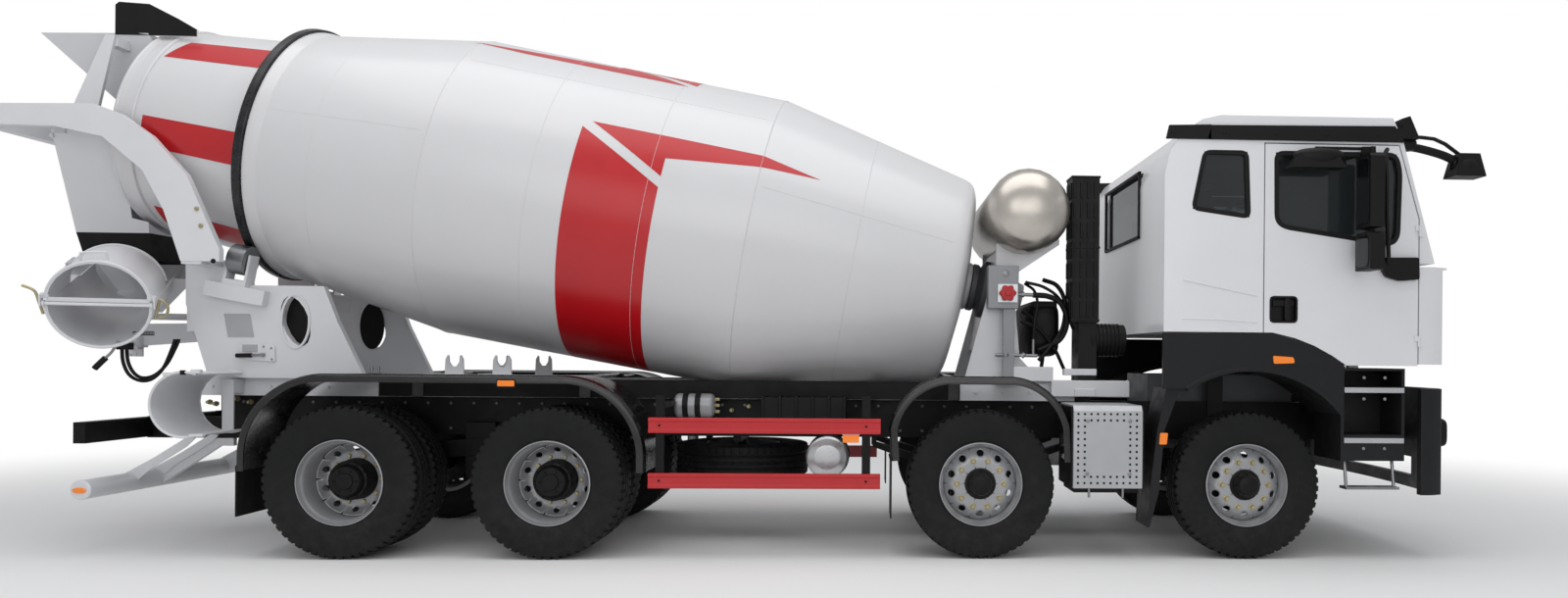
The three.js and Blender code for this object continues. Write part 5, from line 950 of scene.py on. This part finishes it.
def frame_bolts():
    """Bolt rows along the frame's rails, and unions at its rear end."""
    for side, word in SIDES:
        spots = [at(x, side * RAIL_OUT, z) for x in range(-1080, 5000, 170) for z in (850, 1040)]
        piece("rail_bolts_" + word, bolts(spots, (0, side, 0), 0.013, 0.011), CAST, TRUCK)
    spots = [at(x, -433, z) for x, z in ((-1328, 1034), (-1282, 1022), (-1125, 1060), (-1029, 1036),
                                         (2560, 1000), (2690, 1030))]
    piece("unions", bolts(spots, (0, -1, 0), 0.014, 0.045) + bolts(spots, (0, -1, 0), 0.020, 0.018), BRASS,
          TRUCK)
    for k, x in enumerate((-339, -57)):
        piece(f"tap_block_{k}", slab((x - 45, x + 45), (-585, -545), (1224, 1262)), BLACK, TRUCK, bevel=0.004)
        piece(f"taps_{k}", [bar((x + d, -565, 1262), (x + d, -565, 1318), 9) for d in (-25, 25)]
              + [bar((x + d, -565, 1290), (x + d, -565, 1300), 15) for d in (-25, 25)], STEEL, TRUCK,
              bevel=0.001)
    spots = [at(x, side * DECK_OUT, 1155) for x in (-1250, -1040, -830, -620, -410, -200, 4420, 4630, 4840,
                                                    5050) for side in (RIGHT, LEFT)]
    piece("subframe_bolts", [b for q in spots for b in bolts([q], (0, float(np.sign(q[1])), 0), 0.014,
                                                             0.012)], BODY_WHITE, TRUCK)


def dark_deck():
    """Black side plates over the middle of the subframe, between the trestle and the drum's drive."""
    plates = []
    for side, _ in SIDES:
        plates.append(slab((-40, 4300), (side * DECK_OUT, side * 546), (1092, 1226)))
        plates.append(slab((-40, 4300), (side * 466, side * 546), (1222.5, 1227)))
    piece("deck_plates", plates, BLACK, TRUCK, bevel=0.001)


def spare():
    """Tyre lying flat with its disc on top, and its carrier."""
    box = [NODES["spare_wheel"].matrix_world @ Vector(c) for c in NODES["spare_wheel"].bound_box]
    cx = (min(c.x for c in box) + max(c.x for c in box)) / 2
    V, F = tyre_shape((0, 0, 0), 0.135)
    flat = np.stack([V[:, 0], V[:, 2], V[:, 1]], 1) * [0.995, 0.995, 1] + [cx, 0, 0.6]
    piece("spare_tyre", (flat, F), TYRE, TRUCK, smooth=24, replaces="spare_wheel")
    ax = Axis((cx, 0, 0.6), (0, 0, 1), (0, 1, 0))
    disc = [(0.118, 0.296), (0.126, 0.29), (0.11, 0.28), (0.07, 0.262), (0.05, 0.25), (0.06, 0.2),
            (0.06, 0.1), (0.05, 0.1), (0.05, 0.19), (0.03, 0.25), (-0.1, 0.262), (-0.126, 0.294),
            (-0.1, 0.296), (0.09, 0.292)]
    piece("spare_disc", turned(ax, disc, 56), SILVER, TRUCK, smooth=40)
    x = (cx - REAR_AXLE) * 1000
    piece("spare_carrier", [slab((x - 30, x + 30), (-400, 400), (752, 799)),
                            slab((x - 30, x + 30), (-60, 60), (652, 760))], BLACK, TRUCK, bevel=0.003)


def pipe_forks():
    """Open-topped white forks on the subframe that hold the wash hose."""
    for side, word in SIDES:
        forks = []
        for x in (503, 855):
            o = [(x - 72, 1223), (x + 72, 1223), (x + 66, 1370), (x + 50, 1403), (x + 40, 1398),
                 (x + 36, 1350), (x + 15, 1318), (x - 15, 1318), (x - 36, 1350), (x - 40, 1398),
                 (x - 50, 1403), (x - 66, 1370)]
            forks.append(prism(o, (side * 505, side * 525)))
            forks.append(slab((x - 72, x + 72), (side * 470, side * 535), (1223, 1233)))
        piece("forks_" + word, forks, BODY_WHITE, TRUCK, bevel=0.003)


def battery_cover():
    """Aluminium cover with two rows of round holes along each edge, drawn as black discs of painted shade, and
    four screws.
    """
    holes = []
    for i in range(10):
        for j in range(12):
            if 1 < i < 8 and 1 < j < 10:
                continue
            holes.append(at(5075 + i * 46, -1222.5, 545 + j * 44))
    # The holes are not cut: flat black discs paint the shade inside them.
    piece("cover_holes_painted_shade", bolts(holes, (0, -1, 0), 0.0085, 0.0012, 12), BLACK, TRUCK)
    spots = [at(x, -1222, z) for x in (5140, 5440) for z in (610, 980)]
    piece("cover_screws", bolts(spots, (0, -1, 0), 0.014, 0.008), STEEL, TRUCK)
    piece("cover_sides",
          [slab((5028, 5041), (-1200, -730), (512, 1080)), slab((5533, 5546), (-1200, -730), (512, 1080)),
           slab((5060, 5520), (-1150, -760), (470, 508))], BLACK, TRUCK, bevel=0.002)
    piece("cover_feet", [bar((x, -1190, 440), (x, -1190, 512), 9) for x in (5160, 5400)], STEEL, TRUCK)


def wash_station():
    """Grey valve cabinet on a post with a lock and a red hand wheel, pipes and a loop of hoses."""
    piece("wash_cabinet", slab((4499, 4730), (-640, -520), (1790, 2115)), GREY, TRUCK, bevel=0.006)
    piece("wash_post", [slab((4618, 4705), (-612, -560), (1224, 1790)),
                        slab((4560, 4760), (-640, -540), (1224, 1236))], GREY, TRUCK, bevel=0.004)
    piece("wash_plate", slab((4570, 4722), (-650, -639), (1835, 1975)), ALUMINIUM, TRUCK, bevel=0.002)
    t = np.linspace(0, 2 * PI, 96, endpoint=False)
    r = 0.058 * (1 + 0.1 * np.cos(6 * t))
    ax = Axis(at(4644, -651, 1905), (0, -1, 0))
    rings = [(0.0, 0.9), (0.006, 1.0), (0.03, 1.0), (0.036, 0.92), (0.036, 0.4), (0.046, 0.34), (0.046, 0.1)]
    piece("wash_wheel", closed_skin(np.stack([ax(np.full(96, a), k * r * np.cos(t), k * r * np.sin(t)) for a,
                                              k in rings])), RED_KNOB, TRUCK, smooth=50)
    piece("wash_lock", bolts([at(4631, -640, 2053)], (0, -1, 0), 0.026, 0.01,
                             24) + bolts([at(4631, -650, 2053)], (0, -1, 0), 0.014, 0.006, 24), STEEL, TRUCK)
    piece("wash_pipes",
          [bar((4722, -625, 1898), (4840, -625, 1895), 14), bar((4560, -600, 1440), (4880, -600, 1436), 13),
           bar((4750, -625, 1898), (4772, -625, 1897), 22), bar((4850, -600, 1436), (4850, -600, 1560), 11),
           bar((4640, -600, 1430), (4640, -600, 1450), 24), bar((4760, -600, 1426), (4784, -600, 1450), 18)],
          STEEL, TRUCK)
    lines = [[(4840, -625, 1895), (4960, -620, 1885), (5060, -600, 1830), (5110, -570, 1700),
              (5060, -540, 1560), (4900, -520, 1480)],
             [(4850, -600, 1560), (4860, -600, 1700), (4880, -590, 1830), (4860, -560, 1930),
              (4800, -480, 1990)], [(4900, -560, 1400), (5000, -540, 1520), (5090, -520, 1660),
                                    (5110, -480, 1850), (5060, -420, 1980), (4960, -360, 2030)],
             [(4760, -540, 1700), (4900, -540, 1640), (5020, -520, 1500), (5110, -480, 1330)],
             [(4800, -500, 2000), (4950, -500, 1960), (5080, -480, 1860), (5180, -470, 1640)],
             [(4940, -400, 1300), (4950, -430, 1500), (4880, -460, 1700), (4780, -480, 1780)]]
    piece("loop_hoses", [tube(q, r, per=10) for q, r in zip(lines, (21, 11, 17, 14, 12, 15))], HOSE, TRUCK,
          smooth=60)
    piece("drive_casing", [slab((4870, 5060), (-430, 430), (1500, 1860)),
                           pod((4960, 0, 1640), (130, 470, 210))], BLACK, TRUCK, bevel=0.01)
    piece("deck_boxes",
          [slab((4700, 5000), (-620, -545), (1242, 1352)), slab((4985, 5580), (-640, -545), (1128, 1252)),
           slab((5160, 5320), (-652, -640), (1130, 1190)), slab((5080, 5330), (-630, -560), (1290, 1340))],
          BODY_WHITE, TRUCK, bevel=0.006)


def intake_slots():
    """Upright bars with slits between them on the intake tower's outer and rear faces."""
    bars = []
    for x in (5148, 5200, 5252, 5304):
        for k in range(7):
            bars.append(slab((x - 8, x + 8), (-640, -650), (1730 + 150 * k, 1850 + 150 * k)))
    for y in (-610, -560, -510, -460):
        for k in range(7):
            bars.append(slab((5120, 5130), (y - 8, y + 8), (1730 + 150 * k, 1850 + 150 * k)))
    bars += [slab((5124, 5346), (-646, -416), (z, z + 16)) for z in (1700, 2250, 2784)]
    piece("intake_bars", bars, PLASTIC, NODES["air_intake"]["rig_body"], bevel=0.003)
    rings = [turned(Axis(at(5290 + 30 * k, -500, 1560), (1, 0, 0)),
                    [(0, 0.118), (0.004, 0.128), (0.016, 0.128), (0.02, 0.118)], 40) for k in range(8)]
    piece("filter_rings", rings, PLASTIC, NODES["air_intake"]["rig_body"], smooth=40)


# ---------------------------------------------------------------- rear end
def trestle_parts():
    """Oval ports' lips, black sheets as painted shade inside them, a blank plate, a lever in its panel and
    small bolts.
    """
    panel = [(-996, 1478), (-760, 1470), (-742, 1450), (-738, 1342), (-940, 1350), (-985, 1372)]
    for side, word in SIDES:
        t = np.linspace(0, 2 * PI, 56, endpoint=False)
        ring = np.stack([-600 + 100 * np.cos(t), 1640 + 195 * np.sin(t)], 1)
        piece("port_lip_" + word, rim_band(ring, 8, 8, side * 632, side * 648), BODY_WHITE, TRUCK, smooth=40,
              bevel=0.002)
        # Black sheet behind the port's lip: painted shade for the dark inside of the open port.
        piece("port_painted_shade_" + word, prism(ring, (side * 566, side * 574)), BLACK, TRUCK)
        piece("arm_plug_" + word, bolts([at(-1034, side * 905, 2052)], (0, side, 0), 0.017, 0.004, 20),
              PLASTIC, TRUCK)
        piece("arm_bolt_" + word, bolts([at(-1120, side * 905, 2300), at(-1150, side * 905, 2420)],
                                        (0, side, 0), 0.017, 0.01), BRASS, TRUCK)
    piece("data_plate", prism([(-1112, 1690), (-925, 1690), (-896, 1520), (-1083, 1520)], (-640, -643.5)),
          PLATE, TRUCK, bevel=0.001)
    piece("data_plate_rivets",
          bolts([at(x, -643.5, z) for x, z in ((-1104, 1682), (-935, 1682), (-905, 1528), (-1075, 1528))],
                (0, -1, 0), 0.005, 0.003, 12), ALUMINIUM, TRUCK)
    piece("lever_panel", prism(panel, (-640, -654)), BODY_WHITE, TRUCK, bevel=0.003)
    piece("lever_window", slab((-972, -862), (-652, -657), (1412, 1466)), PLATE, TRUCK, bevel=0.002)
    piece("lever_screws", bolts([at(x, -654, z) for x, z in ((-765, 1440), (-760, 1360), (-820, 1452))],
                                (0, -1, 0), 0.008, 0.005), STEEL, TRUCK)
    piece("lever", [bar((-820, -672, 1391), (-905, -672, 1388), 9),
                    bar((-820, -652, 1391), (-820, -680, 1391), 14)], STEEL, TRUCK, bevel=0.001)
    piece("lever_grip", tube([(-895, -672, 1388), (-930, -672, 1387), (-985, -672, 1385),
                              (-1004, -672, 1385)], 16, per=4), PLASTIC, TRUCK, smooth=50)


def skirt_bolts():
    """Rubber strip and bolts that hold the collector's skirt."""
    for side, word in SIDES:
        spots = [at(x, side * 256, 2268) for x in (-2360, -2240, -2120, -2000, -1920)]
        piece("skirt_strip_" + word, slab((-2410, -1888), (side * 249, side * 262), (2262, 2278)), RUBBER,
              TRUCK, bevel=0.001)
        piece("skirt_bolts_" + word, bolts(spots, (0, side, 0), 0.013, 0.014), STEEL, TRUCK)


def spare_trough():
    """Rolled rims and latches on the stored trough."""
    node = "spare_chute"
    arcs = [[-1045 + 221 * math.cos(a), 1050 + 221 * math.sin(a)]
            for a in np.radians(np.linspace(70, 290, 49))]
    rims = [tube([(x, y, z) for x, z in arcs], 9, per=0) for y in (-1208, -672)]
    edges = [bar((arcs[k][0], -1210, arcs[k][1]), (arcs[k][0], -670, arcs[k][1]), 9) for k in (0, -1)]
    piece("trough_rims", rims + edges, BODY_WHITE, NODES[node]["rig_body"], smooth=50)
    clips = [slab((-1175, -1120), (-1222, -1190), (1244, 1268)),
             slab((-990, -930), (-1222, -1180), (1262, 1290)),
             slab((-1000, -905), (-1222, -1185), (832, 852)), slab((-985, -960), (-1215, -690), (836, 848))]
    piece("trough_clips", clips, BODY_WHITE, NODES[node]["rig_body"], bevel=0.004)
    piece("trough_buckle", slab((-1060, -1030), (-1222, -1200), (1252, 1284)), RUBBER, NODES[node]["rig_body"],
          bevel=0.003)


def underrun_parts():
    """End caps, lamps and curved struts of the rear bar."""
    strut = [(-1790, 512), (-1560, 640), (-1330, 790), (-1260, 790), (-1330, 720), (-1580, 560), (-1680, 470)]
    for side, word in SIDES:
        cap = turned(Axis(at(-1730, side * 1172, 465), (0, side, 0)),
                     rounded_profile([(0, 0.069), (0.012, 0.069), (0.018, 0.06), (0.018, 0)], 0.004), 40,
                     closed=False)
        piece("bar_cap_" + word, cap, BODY_WHITE, TRUCK, smooth=40)
        piece("bar_lamp_" + word, pod((-1735, side * 1190, 462), (48, 12, 20), (0.9, 0.9)), ORANGE, TRUCK,
              smooth=60)
        for name, y in (("strut_flange_", 425), ("strut_second_", 700)):
            piece(name + word, prism(soft(strut), (side * y, side * (y + 12))), BODY_WHITE, TRUCK,
                  bevel=0.003)
        for lamp, y, lens in (("tail", 560, RED_LENS), ("turn", 420, ORANGE)):
            piece(f"{lamp}_lamp_{word}", pod((-1834, side * y, 850), (10, 62, 40), (0.5, 0.3)), lens, TRUCK,
                  smooth=50)


def chute_parts():
    """Collars, grab handle, latches, lever, spring and hoses at the chute's end."""
    C = lambda u, b, w: CHUTE(np.array(u * 1.0), np.array(b * 1.0), np.array(w * 1.0))
    arc_pts = lambda u, r, w, a0, a1: [C(u, r * math.cos(t), w + r * math.sin(t))
                                       for t in np.radians(np.linspace(a0, a1, 41))]
    low = [hose(np.array(arc_pts(1.296, 0.294, 0.119, 180, 360)), 0.009, per=0)]
    rims = [hose(np.array([C(0.42, s * 0.288, 0.124), C(1.0, s * 0.288, 0.124), C(1.296, s * 0.288, 0.124)]),
                 0.009, per=6) for s in (-1, 1)]
    piece("chute_rims", low + rims, BODY_WHITE, "chute", smooth=50)
    high = [hose(np.array(arc_pts(u, 0.294, 0.131, 8, 172)), 0.009, per=0) for u in (1.30, 0.70)]
    shade = [[C(u, r * math.cos(t), 0.131 + r * math.sin(t)) for t in np.radians(np.linspace(6, 174, 49))]
             for u, r in ((1.20, 0.292), (1.20, 0.297), (1.312, 0.297), (1.312, 0.292))]
    high.append(skin(np.array(shade), wrap_u=True))
    piece("extension_rims", high, BODY_WHITE, "chute_extension", smooth=50)
    grip = [C(1.22, -0.10, 0.40), C(1.225, -0.10, 0.455), C(1.225, -0.085, 0.468), C(1.225, 0.02, 0.478),
            C(1.225, 0.04, 0.468), C(1.22, 0.05, 0.41)]
    piece("extension_grip", hose(np.array(grip), 0.008, per=6), BODY_WHITE, "chute_extension", smooth=60)
    flat = closed_skin(np.array([[C(u, b, w) for u, w in ((1.292, 0.142), (1.302, 0.142), (1.302, 0.172),
                                                          (1.292, 0.172))] for b in (-0.285, 0.285)]))
    piece("extension_tie", flat, BODY_WHITE, "chute_extension", bevel=0.002)
    left = [C(1.28, -0.31, 0.05), C(1.29, -0.325, 0.13), C(1.295, -0.345, 0.21), C(1.29, -0.41, 0.245)]
    right = [C(1.28, 0.31, 0.03), C(1.285, 0.33, 0.12), C(1.29, 0.345, 0.17), C(1.29, 0.385, 0.13),
             C(1.28, 0.375, 0.06), C(1.275, 0.33, 0.04)]
    piece("latches", [hose(np.array(q), 0.009, per=6) for q in (left, right)], BRASS, "chute", smooth=60)
    world = lambda pts: np.array([at(*q) for q in pts])
    piece("chute_lever", hose(world([(-1590, -1035, 1480), (-1625, -1050, 1405), (-1662, -1060, 1360)]),
                              0.009, per=4), STEEL, "chute", smooth=60)
    piece("chute_lever_grip", hose(world([(-1660, -1059, 1362), (-1695, -1063, 1325), (-1728, -1067, 1288)]),
                                   0.02, per=4), PLASTIC, "chute", smooth=60)
    t = np.linspace(0, 14 * 2 * PI, 14 * 12)
    a, b = at(-1585, -900, 1535), at(-1440, -900, 1537)
    d = (b - a) / np.linalg.norm(b - a)
    ax = Axis(a, d, (0, 1, 0.2))
    coil = ax(t / t[-1] * np.linalg.norm(b - a), 0.013 * np.cos(t), 0.013 * np.sin(t))
    piece("chute_spring", hose(coil, 0.0028, sides=8, per=0), CAST, "chute", smooth=60)
    loops = [[(-1762, -750, 1440), (-1755, -745, 1330), (-1715, -740, 1240), (-1641, -735, 1198),
              (-1560, -730, 1212), (-1490, -720, 1290), (-1440, -710, 1420), (-1420, -700, 1500)],
             [(-1740, -735, 1440), (-1730, -730, 1330), (-1690, -725, 1250), (-1630, -720, 1218),
              (-1550, -715, 1240), (-1475, -705, 1320), (-1420, -695, 1440), (-1400, -690, 1500)]]
    piece("chute_hoses", [hose(world(q), 0.012, per=8) for q in loops], HOSE, "chute", smooth=60)
    piece("hose_block", slab((-1790, -1700), (-770, -715), (1420, 1470)), BLACK, "chute", bevel=0.003)


# ---------------------------------------------------------------- cab
WINDOW = [(6452, 2880), (7318, 2880), (7350, 2760), (7337, 2290), (7281, 2238), (6513, 2352), (6457, 2400)]
QUARTER = [(5943, 2880), (6250, 2880), (6268, 2418), (5862, 2474)]


def cab_parts():
    """Seals, handles, mirrors, lamps, wipers and strips on the cab."""
    for side, word in SIDES:
        door = "door_" + word
        dbody = NODES[door]["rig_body"]
        piece("window_seal_" + word, rim_band(soft(WINDOW, 60, 8), 12, 22, side * 1228, side * 1253), RUBBER,
              dbody, smooth=35, bevel=0.003)
        piece("quarter_seal_" + word, rim_band(soft(QUARTER, 50, 8), 10, 22, side * 1232, side * 1253),
              RUBBER, CAB, smooth=35, bevel=0.003)
        piece("handle_frame_" + word, rim_band(soft([(6424, 1862), (6609, 1862), (6609, 1688), (6424, 1688)],
                                                    25), 8, 6, side * 1244, side * 1254), PLASTIC, dbody,
              smooth=35, bevel=0.002)
        piece("handle_grip_" + word, pod((6545, side * 1247, 1775), (22, 9, 80), (0.4, 0.5)), PLASTIC, dbody,
              smooth=50)
        strip = [(5668, 2962), (5990, 2962), (5990, 3066), (5690, 3058)]
        piece("roof_strip_" + word, prism(strip, (side * 1243, side * 1264)), PLASTIC, CAB, bevel=0.004)
        piece("strip_bolts_" + word, bolts([at(x, side * 1264, 3010) for x in (5717, 6083, 6449, 6815, 7181)],
                                           (0, side, 0), 0.012, 0.004, 16), PLASTIC, CAB)
        swage = [tube([(5800, side * 1249, 1978), (6060, side * 1251, 1925), (6330, side * 1249, 1870)],
                      7, per=10), tube([(5795, side * 1249, 1706), (6060, side * 1250, 1700),
                                        (6332, side * 1249, 1683)], 6, per=10)]
        piece("cab_swage_" + word, swage, WHITE, CAB, smooth=60)
        heads = [pod((7035, side * 1450, 2580), (52, 109, 252), (0.3, 0.45)),
                 pod((7035, side * 1450, 2170), (50, 109, 132), (0.35, 0.5))]
        glasses = [pod((6982, side * 1450, 2580), (4, 92, 226), (0.3, 0.3)),
                   pod((6984, side * 1450, 2170), (4, 90, 108), (0.4, 0.4))]
        piece("mirror_heads_" + word, heads, PLASTIC, dbody, smooth=50)
        piece("mirror_glass_" + word, glasses, MIRROR, dbody, smooth=50)
        base = soft([(7157, 2146), (7470, 2150), (7474, 1995), (7330, 1983), (7235, 2010)], 18)
        piece("mirror_foot_" + word, prism(base, (side * 1250, side * 1290)), PLASTIC, dbody, bevel=0.008)
        piece("mirror_post_" + word, tube([(7250, side * 1280, 2100), (7225, side * 1330, 2180),
                                           (7190, side * 1380, 2400), (7180, side * 1390, 2700),
                                           (7190, side * 1350, 2860), (7230, side * 1290, 2905)], 15, per=10),
              PLASTIC, dbody, smooth=60)
        lamp = pod((7752, side * 930, 905), (34, 190, 88), (0.4, 0.35))
        piece("headlamp_" + word, lamp, CLEAR_LENS, TRUCK, smooth=50)
        piece("headlamp_rim_" + word, pod((7742, side * 930, 905), (34, 208, 104), (0.4, 0.35)), PLASTIC,
              TRUCK, smooth=50)
    oval = lambda c, a, b, h: pod(c, (a, b, h), (0.8, 1.0))
    piece("kerb_mirror_cap", oval((6715, -1355, 2835), 182, 68, 58), PLASTIC,
          NODES["mirror_right"]["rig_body"], smooth=60)
    piece("front_mirror_arm",
          [tube([(7385, -1180, 2955), (7520, -1184, 2935), (7680, -1180, 2895), (7790, -1178, 2850)], 30,
                per=10), pod((7420, -1180, 2960), (70, 46, 44), (0.6, 0.6))], PLASTIC, CAB, smooth=60)
    piece("front_mirror_cap", oval((7852, -1175, 2818), 108, 84, 60), PLASTIC, CAB, smooth=60)
    bars = [slab((7766, 7772), (-560, 560), (z, z + 26)) for z in (1560, 1640, 1720, 1800, 1880)]
    piece("front_bars", bars, PLASTIC, NODES["front_lid"]["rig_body"], bevel=0.004)
    seal = [slab((5650, 5672), (y - 12, y + 12), (2340, 2850)) for y in (-565, 565)]
    seal += [slab((5650, 5672), (-577, 577), (z - 12, z + 12)) for z in (2350, 2840)]
    piece("rear_window_seal", seal, RUBBER, CAB, bevel=0.004)
    for k, y in enumerate((-620, 150)):
        piece(f"wiper_{k}", [tube([(7622, y, 2135), (7575, y + 230, 2330), (7520, y + 430, 2520)], 9, per=8)],
              PLASTIC, CAB, smooth=60)
    piece("front_visor_lamps", [pod((7462, y, 3075), (12, 50, 16), (0.6, 0.6))
                                for y in (-700, -350, 0, 350, 700)], ORANGE, CAB, smooth=50)


tanks()
dark_deck()
spare()
frame_bolts()
pipe_forks()
battery_cover()
wash_station()
intake_slots()
trestle_parts()
skirt_bolts()
spare_trough()
underrun_parts()
chute_parts()
cab_parts()

# ---------------------------------------------------------------- every other CAD node, with rounded edges
def paint_rest():
    """Nodes whose CAD shape is right keep it, with rounded edges and their own finish."""
    for node, ob in NODES.items():
        if ob.hide_render:
            continue
        if node.startswith(("knuckle", "front_axle", "rear_bogie", "chassis_frame")):
            refined(node, BLACK, 0.003)
        elif node.startswith("drum_roller"):
            refined(node, STEEL, 0.003)
        elif node.startswith("lift_rod"):
            refined(node, STEEL, 0.0015)
        elif node.startswith("lift_barrel"):
            refined(node, BODY_WHITE, 0.002)
        elif node.startswith("wheel_arch"):
            refined(node, [FENDER, STEEL], 0.004, pick=lambda c: int(c.z < 0.706 and c.x > REAR_AXLE + 6.9))
        elif node.startswith("front_bumper"):
            refined(node, FENDER, 0.006)
        elif node.startswith(("roof_trim", "mirror", "air_intake", "steering_wheel")):
            refined(node, PLASTIC, 0.004)
        elif node in ("engine", "drum_drive"):
            refined(node, CAST, 0.004)
        elif node in ("battery_box", "fuel_tank"):
            refined(node, PLATE, 0.005)
        elif node == "water_tank":
            refined(node, STAINLESS, 0.001)
        elif "glass" in node or "window" in node or node == "windscreen":
            refined(node, GLASS, 0.0008)
        elif node == "cab_interior":
            refined(node, TRIM, 0.008)
        elif node == "spare_wheel":
            refined(node, TYRE, 0.004)
        elif node.startswith("door"):
            refined(node, [WHITE, PLASTIC], 0.004, pick=in_handle_recess)
        elif node.startswith(("cab_shell", "front_panel", "front_lid")):
            refined(node, WHITE, 0.005)
        elif node == "collector":
            refined(node, [BODY_WHITE, RUBBER], 0.002, pick=lambda c: int(c.z < 2.3 and abs(c.y) < 0.3))
        elif node == "hopper":
            refined(node, [BODY_WHITE, RUBBER], 0.002, pick=lambda c: int(c.z > 3.78))
        else:
            refined(node, BODY_WHITE, 0.004)


paint_rest()
